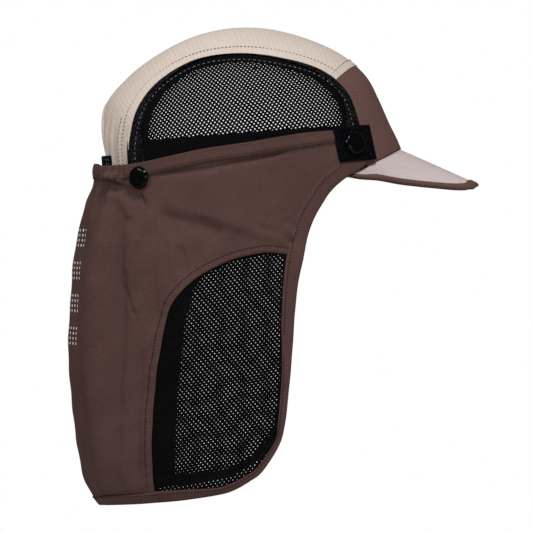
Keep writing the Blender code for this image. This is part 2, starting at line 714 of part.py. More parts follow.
build_crown(CAP, VENT)
build_sweatband(CAP)
build_strap(CAP)
build_peak(CAP)
build_cape(CAP)
build_fastenings(CAP)
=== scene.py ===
"""A soft cap with a mesh crown and a neck cape that snaps on over its rim, ready to render."""
import math

import bpy
import numpy as np
from mathutils import Matrix, Vector


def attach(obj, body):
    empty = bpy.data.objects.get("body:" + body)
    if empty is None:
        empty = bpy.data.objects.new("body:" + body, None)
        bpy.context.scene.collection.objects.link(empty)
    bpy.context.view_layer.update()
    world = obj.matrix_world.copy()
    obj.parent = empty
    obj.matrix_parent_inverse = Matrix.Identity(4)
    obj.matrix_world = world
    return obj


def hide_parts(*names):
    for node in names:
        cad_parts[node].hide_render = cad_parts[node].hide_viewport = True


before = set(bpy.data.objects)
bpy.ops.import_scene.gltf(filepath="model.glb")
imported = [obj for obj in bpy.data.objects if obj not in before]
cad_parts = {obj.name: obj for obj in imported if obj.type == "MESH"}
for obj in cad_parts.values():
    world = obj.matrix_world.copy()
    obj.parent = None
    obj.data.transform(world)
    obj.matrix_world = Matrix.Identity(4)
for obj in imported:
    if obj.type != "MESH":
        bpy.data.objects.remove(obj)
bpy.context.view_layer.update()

# The crown
CROWN_REACH = 0.106  # from the middle of the head opening to the front of the crown
CROWN_HALF_WIDTH = 0.080
CROWN_FULLNESS = 2.4  # power of the cross-section: 2 is round, more is boxier
RIM_SLOPE = 0.073  # rise of the rim line toward the front
PEAK_SEAM_SLOPE = 0.50  # extra steepness of the rim where the peak is sewn on
CROWN_WALL = 0.0010
SEAM_GAP = 0.0004  # left between pieces that share a seam
BINDING_WIDTH = 0.0085
BINDING_END_WIDTH = 0.0130  # wider at the rim, where the snaps go through it

# The opening at the back and the strap over it
VENT_HALF_WIDTH = 0.032
VENT_TOP = 0.052
STRAP_WIDTH = 0.022
STRAP_MIDDLE = 0.008
STRAP_HALF_LENGTH = 0.040
STRAP_WALL = 0.0010

# The sweatband
SWEATBAND_HEIGHT = 0.034
SWEATBAND_WALL = 0.0010
SWEATBAND_INSET = 0.0026

# The peak
PEAK_LENGTH = 0.0530  # from the crown's front to the tip
PEAK_HALF_WIDTH = 0.069
PEAK_FALL = 0.0247  # drop of the middle line from the crown to the tip
PEAK_WALL = 0.0016
PEAK_SEAM_INSET = 0.0026  # the ends of its seam stand this far in from its widest place
PEAK_ROLL_HALF = 0.0015  # half the height of its rolled edge

# The neck cape
CAPE_DROP = 0.2186  # from the head opening down to the lowest point
CAPE_REACH = 0.1255  # from the middle of the head opening to the cape's fullest place behind
CAPE_HALF_WIDTH = 0.0825
CAPE_CLEARANCE = 0.0021  # the cape's outer face over the crown at the sides
CAPE_BACK_CLEARANCE = 0.0050  # and over the strap behind
CAPE_BAND_WIDTH = 0.010
GATHER_DEPTH = 0.0011
GATHER_COUNT = 40  # waves in a full turn
FOLD_DEPTH = 0.0030

# The webbing tabs and the snaps
TAB_LENGTH = 0.0245
TAB_HEIGHT = 0.0233
TAB_TILT = math.radians(4.8)  # rise of its upper and lower edges toward the front
TAB_LEAN = math.radians(11.5)  # lean of its ends
TAB_SHIFT = 0.0014  # its middle is this far in front of the snap
TAB_RISE = 0.0012  # and this far above it
TAB_WALL = 0.0013
TAB_CLEARANCE = 0.0004
TAB_LIFT = 0.0007  # the tabs lie over the doubled edges of the cape
SNAP_RADIUS = 0.0075
SNAP_HEIGHT = 0.0034
SNAP_POST_RADIUS = 0.0022
SNAP_FLANGE_RADIUS = 0.0040
SNAP_CLEARANCE = 0.0003

# Mid-line of the crown: angle up from the front, reach as a share of CROWN_REACH
CROWN_LINE = (
    (0, 1.000), (14, 0.976), (25, 0.958), (34, 0.973), (43, 1.002), (53, 1.006), (68, 0.995),
    (90, 1.000), (108, 1.014), (124, 1.030), (140, 1.056), (152, 1.068), (161, 1.030),
    (171, 0.968), (190, 0.952),
)
# Seam between the middle strip and the side: angle up from the front, share of the mid-line's reach
ARCH_LINE = (
    (0, 0.700), (9, 0.725), (20, 0.765), (30, 0.795), (42, 0.818), (58, 0.830), (80, 0.810),
    (98, 0.820), (120, 0.842), (140, 0.824), (154, 0.790), (170, 0.805), (190, 0.815),
)
# Binding beside that seam: angle up from the front, share of the way to its end width
BINDING_SPREAD = ((0, 1), (16, 1), (32, 0), (158, 0), (174, 1), (190, 1))
FRONT_SEAM_ANGLE = math.radians(49.5)
RIM_BACK_ANGLE = math.radians(184.2)

# Peak outline: share of the way from the middle to the end, share of PEAK_LENGTH forward of the
# crown, share of PEAK_HALF_WIDTH
PEAK_OUTLINE = (
    (0.00, 0.990, 0.000), (0.18, 0.983, 0.174), (0.35, 0.962, 0.350), (0.50, 0.926, 0.510),
    (0.62, 0.877, 0.623), (0.75, 0.632, 0.754), (0.84, 0.290, 0.849), (0.895, 0.028, 0.899),
    (0.945, -0.245, 0.935), (0.983, -0.519, 0.977), (1.00, -0.689, 0.997),
)

# Hanging cape: share of CAPE_DROP below the head opening, shares of CAPE_REACH and CAPE_HALF_WIDTH
CAPE_SECTIONS = (
    (-0.20, 0.835, 0.985), (0.00, 0.872, 0.985), (0.05, 0.896, 0.990), (0.14, 0.942, 1.000),
    (0.24, 0.973, 1.010), (0.36, 0.991, 1.015), (0.52, 1.000, 1.010), (0.72, 0.976, 0.995),
    (0.86, 0.937, 0.975), (0.92, 0.912, 0.968), (1.00, 0.836, 0.950), (1.10, 0.800, 0.945),
)
# Top edge of the cape: forward share of CROWN_REACH, share of CAPE_DROP below the head opening,
# share of CAPE_BAND_WIDTH
CAPE_TOP = (
    (0.700, -0.168, 0.68), (0.620, -0.165, 0.72), (0.498, -0.160, 0.85), (0.295, -0.150, 1.0),
    (-0.009, -0.125, 1.0), (-0.327, -0.102, 1.0), (-0.532, -0.081, 1.0), (-0.723, -0.062, 1.0),
    (-0.898, -0.056, 1.0), (-1.300, -0.065, 1.0),
)
# The hem down the front and round the bottom: outer edge, then its inner line, each as a forward
# share of CROWN_REACH and a share of CAPE_DROP below the head opening
HEM_LINE = (
    (0.680, -0.135, 0.560, -0.135), (0.727, -0.068, 0.566, -0.092), (0.581, -0.016, 0.527, -0.050),
    (0.507, 0.014, 0.442, -0.017), (0.447, 0.052, 0.373, 0.027), (0.376, 0.116, 0.293, 0.099),
    (0.313, 0.232, 0.225, 0.215), (0.281, 0.309, 0.201, 0.304), (0.265, 0.386, 0.191, 0.385),
    (0.255, 0.448, 0.188, 0.448), (0.234, 0.583, 0.187, 0.583), (0.204, 0.718, 0.163, 0.718),
    (0.163, 0.791, 0.141, 0.778), (0.063, 0.867, 0.034, 0.856), (-0.021, 0.899, -0.047, 0.885),
    (-0.121, 0.927, -0.137, 0.908), (-0.221, 0.941, -0.221, 0.920), (-0.409, 0.956, -0.409, 0.927),
    (-0.610, 0.968, -0.610, 0.936), (-0.820, 0.980, -0.820, 0.949), (-1.300, 1.000, -1.300, 0.968),
)
HEM_INSET_TOP = 6
HEM_INSET_LOW = 14
HEM_INSET_BACK = 18
# The mesh inset's seam, from its front corner back and down: forward share, share of the drop
INSET_SEAM = (
    (0.225, 0.215), (0.098, 0.209), (-0.009, 0.216), (-0.116, 0.229), (-0.224, 0.252),
    (-0.330, 0.281), (-0.422, 0.320), (-0.492, 0.361), (-0.534, 0.410), (-0.578, 0.526),
    (-0.602, 0.604), (-0.622, 0.721), (-0.624, 0.839), (-0.610, 0.936),
)
INSET_CORNER = 6
CLOTH_CORNER_DROP = 0.34  # how low the thread through that corner lies at the middle of the back
# Soft folds: turn from the front, half-width, in degrees; top and bottom as shares of CAPE_DROP;
# share of FOLD_DEPTH, outward where positive
FOLDS = (
    (129, 6, 0.04, 0.22, -0.9), (138, 6, 0.02, 0.34, 0.6), (146, 6, 0.05, 0.85, -0.7),
    (155, 6, 0.05, 1.20, 0.9), (167, 7, 0.06, 1.20, -0.8), (117, 8, 0.20, 1.20, 0.5),
    (70, 14, 0.06, 0.26, -0.5),
)
GATHERS_START = math.radians(143)
# The snaps: forward share of CROWN_REACH, share of CAPE_DROP below the head opening
FRONT_SNAP = (0.613, -0.1160)
REAR_SNAP = (-0.692, -0.0175)

CROWN_INSIDE = (0, 0, 0.02)  # a point that the crown's cloths lie round
CAPE_INSIDE = (0, 0, -0.05)  # and one that the cape's lie round

# The camera and the lights
CAMERA_PLACE = (0.00918, -2.4, -0.0285)
CAMERA_AIM = (0.00918, 0.0, -0.0557)
CAMERA_LENS = 238.4
ROOM_GLOW = 0.20
# Name, place, point it faces, size, power
LAMPS = (
    ("overhead", (0.25, -0.95, 1.25), (0.0, 0.0, -0.05), (0.5, 0.4), 21.0),
    ("front", (0.9, -1.9, 0.2), (0.0, 0.0, -0.08), (0.7, 0.7), 10.0),
    ("rear side", (-1.5, -0.8, 0.75), (0.0, 0.0, -0.02), (0.6, 0.6), 15.0),
    ("back fill", (-0.6, 1.6, 0.6), (0.0, 0.0, -0.05), (1.0, 1.0), 2.0),
)

# Looks: the cloth's own details
CLOTH_WALL = 0.0007
HEM_LIFT = 0.0005  # how far a doubled edge stands over the single cloth
HEM_LEAN = 0.0013  # how far the bottom edge leans inward
SEAM_FOLD = 0.0046  # width of the turned-in edge beside the inset
SEAM_FOLD_LIFT = 0.00035
SEAM_RIPPLE = 0.00022  # the cloth's pull along that seam's stitches
FINE_GATHERS = 140  # waves in a full turn, in the band and just under it
FINE_GATHER_DEPTH = 0.0011
PUCKER_DEPTH = 0.0007
PUCKER_COUNT = 62
STRIP_END_FOLD = (0.0055, 0.0068)  # the strip's doubled end fades out over this distance from its seam
SIDE_FOLD = (0.0046, 0.0058)  # and the doubled sides of the strip and the front panel over this
SIDE_FOLD_LIFT = 0.00035
VENT_ROLL = (0.0022, 0.0010)  # half the width and half the height of the opening's bound edge
BINDING_FOLD = 0.0045  # width of the outer one of the two bands
BINDING_PUFF = 0.0009
CHANNEL_PUFF = 0.0011

# Looks: columns from the front to the gathers and on to the middle of the back, and rows
CHANNEL_COLUMNS = (190, 130)
CLOTH_COLUMNS = (116, 72)
INSET_COLUMNS = 68  # those that end on the inset's top seam
CLOTH_ROWS = (66, 96)  # above the thread through the inset's corner, and below it

# Looks: nets, with steps from one hole to its neighbours, to the front and down, and to the rear and down
CROWN_NET_STEPS = ((0.00165, -0.00139), (-0.00112, -0.00202))
CAPE_NET_STEPS = ((0.00135, -0.00148), (-0.00150, -0.00205))
CROWN_HOLE_RADIUS = 0.00051
CAPE_HOLE_RADIUS = 0.00032
SMALLEST_HOLE = 0.0001  # below this radius a cell is left closed
NET_SHIFT = 0.00010  # the cape's left net lies this far forward of the right one's holes
NET_RIPPLE = 0.00020  # and wanders this far to each side
NET_WALL = 0.00035
NET_LAP = 0.003  # how far a net runs on under the cloth beside it
NET_DEPTH = 0.00045  # how far below that cloth

# Looks: stitches, as pitch, length and radius of the thread
STITCHES = {
    "strip_stitches": (0.0025, 0.0013, 0.00024),
    "panel_stitches": (0.0027, 0.0013, 0.00024),
    "binding_right_stitches": (0.0034, 0.0018, 0.00018),
    "binding_left_stitches": (0.0034, 0.0018, 0.00018),
    "sweatband_stitches": (0.0040, 0.0024, 0.0002),
    "strap_stitches": (0.0026, 0.0018, 0.0002),
    "peak_stitches": (0.0034, 0.0022, 0.00014),
    "cape_stitches": (0.0021, 0.0012, 0.00036),
    "channel_stitches": (0.0022, 0.0012, 0.00038),
}

# Looks: the print
DOT_RADIUS = 0.00105
DOT_SIDES = 7
DOT_PITCH = 0.0034
DOT_COLUMN_PITCH = 0.0068
BAR_HALF_WIDTH = 0.034
BAR_ROWS = 4
BAR_TOPS = (-0.0310, -0.0530, -0.0750, -0.0970)

# Looks: the peak as it is worn, its sides a little less curled than the solid's
WORN_PEAK_CURL = 0.0365
WORN_PEAK_CURL_POWER = 4.2
WORN_EDGING_WIDTH = 0.0068
PEAK_SIDE_RAISE = 0.0015  # the left side stands a little higher

# Painted shade: the line behind which the cape's left net has its holes closed, a dark sheet standing for the
# shade seen
# through the net there, from the top down: forward shares of CROWN_REACH, shares of CAPE_DROP
NET_SHADE_LINE = (
    (-0.150, 0.190), (-0.270, 0.235), (-0.375, 0.330), (-0.425, 0.440), (-0.455, 0.560), (-0.478, 0.680),
    (-0.492, 0.800), (-0.500, 0.960),
)

CREASE_STRENGTH = 1.6  # the depths below are taken this many times
# Creases of the cape as seen from its side: depth and the widths above and below the line, in
# millimetres, then the line's points as forward shares of CROWN_REACH and shares of CAPE_DROP
CREASES = (
    (-1.2, 0.9, 4.4, ((-0.930, -0.009), (-0.837, 0.005), (-0.760, 0.019), (-0.700, 0.038), (-0.657, 0.072))),
    (-0.4, 4.0, 4.0, ((-0.740, 0.030), (-0.690, 0.054), (-0.662, 0.090))),
    (2.2, 2.6, 1.4, ((-0.924, -0.026), (-0.860, -0.015), (-0.800, -0.004))),
    (1.3, 2.4, 5.0, ((-0.920, 0.030), (-0.830, 0.042), (-0.770, 0.068), (-0.740, 0.110))),
    (-1.1, 1.6, 2.6, ((-0.640, -0.022), (-0.501, -0.033), (-0.327, -0.040), (-0.140, -0.057), (0.059, -0.075),
                      (0.260, -0.098))),
    (1.2, 7.0, 3.4, ((-0.389, 0.080), (-0.234, 0.104), (-0.078, 0.131), (0.077, 0.156), (0.270, 0.184))),
    (-1.0, 1.6, 1.6, ((0.030, 0.126), (0.171, 0.152), (0.275, 0.176))),
    (-1.5, 5.0, 5.0, ((-0.626, 0.095), (-0.483, 0.110), (-0.296, 0.135), (-0.172, 0.165))),
    (-1.1, 6.0, 4.0, ((-0.648, 0.112), (-0.640, 0.190), (-0.640, 0.280), (-0.628, 0.385), (-0.610, 0.460))),
    (0.9, 5.0, 5.0, ((-0.775, 0.120), (-0.760, 0.200), (-0.752, 0.300), (-0.760, 0.400))),
    (0.9, 1.8, 3.6, ((-0.812, 0.268), (-0.750, 0.205), (-0.690, 0.155))),
    (-0.8, 1.8, 1.8, ((-0.820, 0.300), (-0.770, 0.350), (-0.735, 0.405))),
    (-0.8, 2.2, 2.2, ((-0.455, 0.185), (-0.425, 0.235), (-0.400, 0.275))),
    (0.7, 3.0, 3.0, ((-0.520, 0.150), (-0.490, 0.230), (-0.480, 0.300))),
    (-0.8, 3.0, 3.0, ((-0.700, 0.480), (-0.712, 0.600), (-0.722, 0.740), (-0.725, 0.920))),
    (-0.5, 3.0, 3.0, ((-0.794, 0.180), (-0.812, 0.358), (-0.837, 0.659), (-0.825, 0.901))),
    (0.8, 3.0, 3.0, ((-0.806, 0.699), (-0.819, 0.810), (-0.800, 0.919))),
    (0.7, 4.0, 4.0, ((-0.750, 0.478), (-0.812, 0.629), (-0.856, 0.780))),
    (-1.0, 1.0, 1.4, ((-1.040, 0.962), (-0.900, 0.951), (-0.760, 0.941), (-0.630, 0.931))),
    (-0.7, 1.6, 2.6, ((0.190, 0.108), (0.240, 0.120), (0.286, 0.131))),
    (-0.8, 1.2, 2.0, ((0.195, 0.166), (0.238, 0.173), (0.278, 0.182))),
    (-0.9, 1.2, 1.2, ((-0.931, -0.010), (-0.956, 0.014), (-0.987, 0.047))),
    (-0.9, 1.1, 1.1, ((-0.915, -0.010), (-0.924, 0.032))),
    (-0.9, 1.1, 1.1, ((-0.900, -0.010), (-0.862, 0.026))),
)


# Smooth lines through a table's rows
def along(rows, at, column=1):
    """A column of a table read at values of its first column, on a smooth line through the rows."""
    table = np.array(rows, float)
    x = table[:, 0]
    y = table[:, column]
    slope = np.gradient(y, x)
    at = np.clip(np.asarray(at, float), x[0], x[-1])
    i = np.clip(np.searchsorted(x, at, side="right") - 1, 0, len(x) - 2)
    step = x[i + 1] - x[i]
    t = (at - x[i]) / step
    start = (1 + 2 * t) * (1 - t) ** 2 * y[i] + t * (1 - t) ** 2 * step * slope[i]
    end = t * t * (3 - 2 * t) * y[i + 1] + t * t * (t - 1) * step * slope[i + 1]
    return start + end


def ease(x, start, end):
    """A soft step from 0 at the start to 1 at the end."""
    t = np.clip((np.asarray(x, float) - start) / (end - start), 0, 1)
    return t * t * (3 - 2 * t)


# The crown form
def line_reach(angle):
    """Reach of the crown's mid-line at an angle up from the front, the same below the rim as above."""
    return CROWN_REACH * along(CROWN_LINE, np.degrees(angle))


def arch_share(angle):
    return along(ARCH_LINE, np.degrees(angle))


def side_of(share):
    """How far out from the mid-plane the crown lies at a share of the mid-line's reach."""
    power = CROWN_FULLNESS
    return CROWN_HALF_WIDTH * np.clip(1 - np.clip(share, 0, 1) ** power, 0, 1) ** (1 / power)


def share_at(side):
    """Share of the mid-line's reach at a distance from the mid-plane."""
    power = CROWN_FULLNESS
    out = np.clip(np.abs(side) / CROWN_HALF_WIDTH, 0, 1)
    return np.clip(1 - out**power, 0, 1) ** (1 / power)


def crown_share(x, z):
    return np.hypot(x, z) / line_reach(np.arctan2(np.abs(z), x))


def crown_radius(turn, z):
    """Distance from the upright axis to the crown, at a turn from the front and a height."""
    low = np.zeros(np.broadcast(turn, z).shape)
    high = low + 0.2
    for _ in range(34):
        middle = (low + high) / 2
        x = middle * np.cos(turn)
        y = middle * np.sin(turn)
        share = crown_share(x, z)
        inside = share**CROWN_FULLNESS + np.abs(y / CROWN_HALF_WIDTH) ** CROWN_FULLNESS < 1
        low = np.where(inside, middle, low)
        high = np.where(inside, high, middle)
    return (low + high) / 2


def rim_height(x):
    """Height of the rim line, steeper where the peak is sewn on."""
    start = 0.585 * CROWN_REACH
    return RIM_SLOPE * x + (PEAK_SEAM_SLOPE - RIM_SLOPE) * np.maximum(x - start, 0)


def rim_angle(share):
    """Angle up from the front at which a line of constant share meets the rim in front."""
    low = np.zeros(np.shape(share))
    high = low + 0.5
    for _ in range(30):
        middle = (low + high) / 2
        reach = share * line_reach(middle)
        above = reach * np.sin(middle) > rim_height(reach * np.cos(middle))
        high = np.where(above, middle, high)
        low = np.where(above, low, middle)
    return (low + high) / 2


def on_crown(angle, side):
    """A crown point from the angle up from the front and the distance from the mid-plane."""
    reach = share_at(side) * line_reach(angle)
    return np.stack([reach * np.cos(angle), side + 0 * reach, reach * np.sin(angle)], -1)


# The cape form
def cape_radius(turn, z):
    """Distance from the upright axis to the cape's outer face, without its folds."""
    behind = ease(np.degrees(turn), 135, 163)
    over = CAPE_CLEARANCE + (CAPE_BACK_CLEARANCE - CAPE_CLEARANCE) * behind
    worn = crown_radius(turn, np.maximum(z, -0.03 * CAPE_DROP)) + over
    drop = -z / CAPE_DROP
    back = CAPE_REACH * along(CAPE_SECTIONS, drop)
    half = CAPE_HALF_WIDTH * along(CAPE_SECTIONS, drop, 2)
    x = np.cos(turn)
    y = np.sin(turn)
    power = CROWN_FULLNESS
    reach = np.where(x < 0, back, CROWN_REACH)
    hung = (np.abs(x / reach) ** power + np.abs(y / half) ** power) ** (-1 / power)
    hanging = ease(drop, 0.02 - 0.06 * behind, 0.16 - 0.10 * behind)
    return worn * (1 - hanging) + hung * hanging


def cape_folds(turn, z):
    """How far the cloth stands out in its folds and in the gathers behind."""
    drop = -z / CAPE_DROP
    degrees = np.degrees(turn)
    out = 0 * degrees * drop
    for middle, width, top, bottom, depth in FOLDS:
        across = np.exp(-(((degrees - middle) / width) ** 2))
        down = ease(drop, top, top + 0.12) * (1 - ease(drop, bottom - 0.12, bottom))
        out = out + depth * FOLD_DEPTH * across * down
    gathered = ease(turn, GATHERS_START, GATHERS_START + 0.2) * (1 - ease(drop, 0.02, 0.22))
    return out + GATHER_DEPTH * gathered * np.cos(GATHER_COUNT * turn)


def cape_turn(x, z):
    """Turn from the front at which the cape is this far forward at a height."""
    low = np.zeros(np.broadcast(x, z).shape)
    high = low + math.pi
    for _ in range(34):
        middle = (low + high) / 2
        ahead = cape_radius(middle, z) * np.cos(middle) > x
        low = np.where(ahead, middle, low)
        high = np.where(ahead, high, middle)
    return (low + high) / 2


def placed(forward, drop):
    """Turns from the front and heights for side-view shares."""
    z = -CAPE_DROP * np.asarray(drop, float)
    return np.stack([cape_turn(CROWN_REACH * np.asarray(forward, float), z), z], -1)


def at_rows(points, rows):
    """Points read between the rows of a line, on a smooth curve through them."""
    numbered = np.column_stack([np.arange(len(points)), points])
    return np.stack([along(numbered, rows, 1), along(numbered, rows, 2)], -1)


def band_edges(turn):
    """Heights of the upper and lower edge of the channel along the top of the cape."""
    table = np.array(CAPE_TOP)
    line = placed(table[:, 0], table[:, 1])
    line = np.column_stack([line, CAPE_BAND_WIDTH * table[:, 2]])
    top = along(line, turn, 1)
    return top, top - along(line, turn, 2)


def patch(top, bottom, left, right):
    """Turns and heights spread between four border lines that meet at their ends."""
    across = np.linspace(0, 1, len(top))[None, :, None]
    down = np.linspace(0, 1, len(left))[:, None, None]
    between = (1 - down) * top[None] + down * bottom[None]
    between = between + (1 - across) * left[:, None] + across * right[:, None]
    corners = (1 - down) * ((1 - across) * top[0] + across * top[-1])
    return between - corners - down * ((1 - across) * bottom[0] + across * bottom[-1])


def near_line(x, z, line):
    """Distance from a line of points, its sign plus above the line, and the share of the way along it."""
    points = np.array(line) * (CROWN_REACH, -CAPE_DROP)
    lengths = np.linalg.norm(np.diff(points, axis=0), axis=1)
    starts = np.concatenate([[0], np.cumsum(lengths)[:-1]])
    best = np.full(np.shape(x), 9.0)
    sign = np.ones(np.shape(x))
    way = np.zeros(np.shape(x))
    for first, second, length, start in zip(points, points[1:], lengths, starts):
        run = (second - first) / length
        t = np.clip((x - first[0]) * run[0] + (z - first[1]) * run[1], 0, length)
        away = np.hypot(x - first[0] - t * run[0], z - first[1] - t * run[1])
        over = run[0] * (z - first[1]) - run[1] * (x - first[0])
        closer = away < best
        sign = np.where(closer, np.sign(over), sign)
        way = np.where(closer, (start + t) / lengths.sum(), way)
        best = np.minimum(best, away)
    return best, sign, way


def cape_relief(turn, z):
    """Creases, gathers and turned-in edges that stand on the cape's main form."""
    radius = cape_radius(turn, z)
    x = radius * np.cos(turn)
    drop = -z / CAPE_DROP
    out = 0 * radius
    for depth, above, below, line in CREASES:
        away, sign, way = near_line(x, z, line)
        width = np.where(sign > 0, above, below) / 1000
        fade = ease(way, 0, 0.14) * (1 - ease(way, 0.86, 1))
        out = out + CREASE_STRENGTH * depth / 1000 * np.exp(-((away / width) ** 2)) * fade
    away, sign, way = near_line(x, z, INSET_SEAM)
    out = out + SEAM_FOLD_LIFT * (1 - ease(away, SEAM_FOLD - 0.0006, SEAM_FOLD + 0.0006))
    out = out + SEAM_RIPPLE * np.sin(way * 190) * np.exp(-((away - SEAM_FOLD) / 0.003) ** 2)
    behind = ease(turn, GATHERS_START, GATHERS_START + 0.16)
    short = 1 - ease(drop, -0.03, 0.06)
    uneven = FINE_GATHERS * turn + 1.7 * np.sin(9 * turn) + 1.1 * np.sin(23 * turn + 30 * drop)
    crimped = 1 - 2 * np.abs(np.sin(uneven / 2)) ** 0.8
    out = out - FINE_GATHER_DEPTH * behind * short * crimped
    soft = 0.00025 * np.sin(210 * x + 90 * z) + 0.00020 * np.sin(-130 * x + 260 * z)
    return out + soft * ease(drop, 0.0, 0.1)


def cape_place(turn, z, side=-1):
    """A point of the cape's outer face; side is -1 for the wearer's right and 1 for the left."""
    radius = cape_radius(turn, z) + cape_folds(turn, z) + cape_relief(turn, z)
    return np.stack([radius * np.cos(turn), side * radius * np.sin(turn), z + 0 * radius], -1)


def arch_place(angle, share, side=-1):
    """A crown point from the angle up from the front and the share of the mid-line's reach."""
    reach = share * line_reach(angle)
    return np.stack([reach * np.cos(angle), side * side_of(share) + 0 * reach, reach * np.sin(angle)], -1)


def raised(points, lift):
    """A grid of points on the cape moved out along its normals, and those normals."""
    along_rows = np.gradient(points, axis=1)
    down = np.gradient(points, axis=0)
    normal = np.cross(along_rows, down)
    normal /= np.maximum(np.linalg.norm(normal, axis=-1, keepdims=True), 1e-9)
    outward = np.sum(normal * (points - np.array(CAPE_INSIDE)))
    normal = normal * (1 if outward > 0 else -1)
    return points + np.asarray(lift)[..., None] * normal, normal


def crown_normals(points):
    """Outward normals of the crown form at points on it."""
    def form(x, y, z):
        power = CROWN_FULLNESS
        return crown_share(x, z) ** power + np.abs(y / CROWN_HALF_WIDTH) ** power

    step = 1e-4
    x, y, z = points[..., 0], points[..., 1], points[..., 2]
    normal = np.stack([
        form(x + step, y, z) - form(x - step, y, z),
        form(x, y + step, z) - form(x, y - step, z),
        form(x, y, z + step) - form(x, y, z - step),
    ], -1)
    return normal / np.maximum(np.linalg.norm(normal, axis=-1, keepdims=True), 1e-9)


# Making meshes
PIECES = bpy.data.collections.new("dressed cap")
bpy.context.scene.collection.children.link(PIECES)


def lengths_along(points, axis):
    """Distance along each line of a grid, counted from the line's middle."""
    steps = np.linalg.norm(np.diff(points, axis=axis), axis=-1)
    run = np.cumsum(steps, axis=axis)
    zero = np.zeros_like(np.take(run, [0], axis=axis))
    run = np.concatenate([zero, run], axis=axis)
    middle = np.take(run, [run.shape[axis] // 2], axis=axis)
    return run - middle


def new_piece(name, points, faces, spots, material, nodes, smooth=True):
    """A mesh with a place in metres on its cloth for each point, standing for CAD nodes."""
    mesh = bpy.data.meshes.new(name)
    mesh.from_pydata(points.tolist(), [], faces)
    layer = mesh.uv_layers.new(name="UVMap")
    loops = np.zeros(len(mesh.loops), np.int32)
    mesh.loops.foreach_get("vertex_index", loops)
    layer.data.foreach_set("uv", np.ascontiguousarray(spots[loops], np.float32).ravel())
    mesh.materials.append(material)
    if smooth:
        mesh.shade_smooth()
    mesh.update()
    made = bpy.data.objects.new(name, mesh)
    PIECES.objects.link(made)
    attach(made, "root")
    if nodes:
        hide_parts(*nodes)
    return made


def thickened(piece, wall):
    """A piece given a wall on its inner side."""
    shell = piece.modifiers.new("wall", "SOLIDIFY")
    shell.thickness = wall
    shell.offset = -1
    return piece


def surface(name, points, material, nodes, wall, toward=CROWN_INSIDE, keep=None):
    """A grid of points as a cloth that thickens toward the inside point; keep says which cells stay."""
    high, wide = points.shape[:2]
    spots = np.stack([lengths_along(points, 1), lengths_along(points, 0)], -1).reshape(-1, 2)
    number = np.arange(high * wide).reshape(high, wide)
    ring = np.stack([number[:-1, :-1], number[:-1, 1:], number[1:, 1:], number[1:, :-1]], -1)
    middle = (points[:-1, :-1] + points[1:, 1:]) / 2
    normal = np.cross(points[:-1, 1:] - points[:-1, :-1], points[1:, :-1] - points[:-1, :-1])
    outward = np.sum(normal * (middle - np.array(toward)))
    if outward < 0:
        ring = ring[..., ::-1]
    if keep is not None:
        ring = ring[keep]
    flat = points.reshape(-1, 3)
    used, ring = np.unique(ring.reshape(-1, 4), return_inverse=True)
    ring = ring.reshape(-1, 4)
    return thickened(new_piece(name, flat[used], ring.tolist(), spots[used], material, nodes), wall)


def tube(name, rings, material, nodes=()):
    """Closed rings of points as one closed skin with its two ends filled."""
    count, around = rings.shape[:2]
    number = np.arange(count * around).reshape(count, around)
    after = np.roll(number, -1, axis=1)
    ring = np.stack([number[:-1], after[:-1], after[1:], number[1:]], -1).reshape(-1, 4)
    faces = ring.tolist() + [number[0, ::-1].tolist(), number[-1].tolist()]
    middle = rings.mean(axis=1, keepdims=True)
    normal = np.cross(rings[:-1, 1:] - rings[:-1, :-1], rings[1:, :-1] - rings[:-1, :-1])
    if np.sum(normal * (rings - middle)[:-1, :-1]) < 0:
        faces = [face[::-1] for face in faces]
    run = lengths_along(middle, 0) + np.zeros((count, around))
    spots = np.stack([run, np.linspace(0, 0.012, around) + np.zeros((count, around))], -1)
    return new_piece(name, rings.reshape(-1, 3), faces, spots.reshape(-1, 2), material, nodes)


def lattice(low, high, steps, radius_at, wanted):
    """Flat cells over a rectangle, as spots and faces. radius_at gives each cell's hole."""
    first, second = (np.array(step) for step in steps)
    reach = int(max(high[0] - low[0], high[1] - low[1]) / 0.0015)
    i, j = np.meshgrid(np.arange(-reach, reach), np.arange(-reach, reach))
    cells = np.stack([i.ravel(), j.ravel()], -1)
    centre = cells[:, :1] * first + cells[:, 1:] * second + (np.array(low) + np.array(high)) / 2
    within = np.all((centre > low) & (centre < high), axis=1)
    cells, centre = cells[within], centre[within]
    chosen = wanted(centre)
    cells, centre = cells[chosen], centre[chosen]
    round_cell = np.array([(1, 1), (0, 1), (-1, 1), (-1, 0), (-1, -1), (0, -1), (1, -1), (1, 0)])
    keys = (2 * cells[:, None] + round_cell).reshape(-1, 2)
    _, firsts, shared = np.unique(keys, axis=0, return_index=True, return_inverse=True)
    spokes = (round_cell[:, :1] * first + round_cell[:, 1:] * second) / 2
    corners = centre[:, None] + spokes
    outer = corners.reshape(-1, 2)[firsts]
    shared = shared.reshape(-1, 8)
    radius = radius_at(centre)
    round_hole = spokes / np.linalg.norm(spokes, axis=-1, keepdims=True)
    inner = centre[:, None] + round_hole * radius[:, None, None]
    pierced = radius > SMALLEST_HOLE
    spots = np.concatenate([outer, inner[pierced].reshape(-1, 2)])
    inside = len(outer) + np.arange(8 * pierced.sum()).reshape(-1, 8)
    outside = shared[pierced]
    quads = np.stack([outside, np.roll(outside, -1, 1), np.roll(inside, -1, 1), inside], -1)
    return spots, quads.reshape(-1, 4).tolist() + shared[~pierced].tolist()


def net(name, spots, faces, points, nodes):
    """A flat lattice laid over a form."""
    a, b, c = (points[[face[k] for face in faces]] for k in (0, 1, 2))
    normal = np.cross(b - a, c - a)
    if np.sum(normal * (a - np.array((0, 0, -0.03)))) < 0:
        faces = [face[::-1] for face in faces]
    return thickened(new_piece(name, points, faces, spots, NET, nodes, smooth=False), NET_WALL)


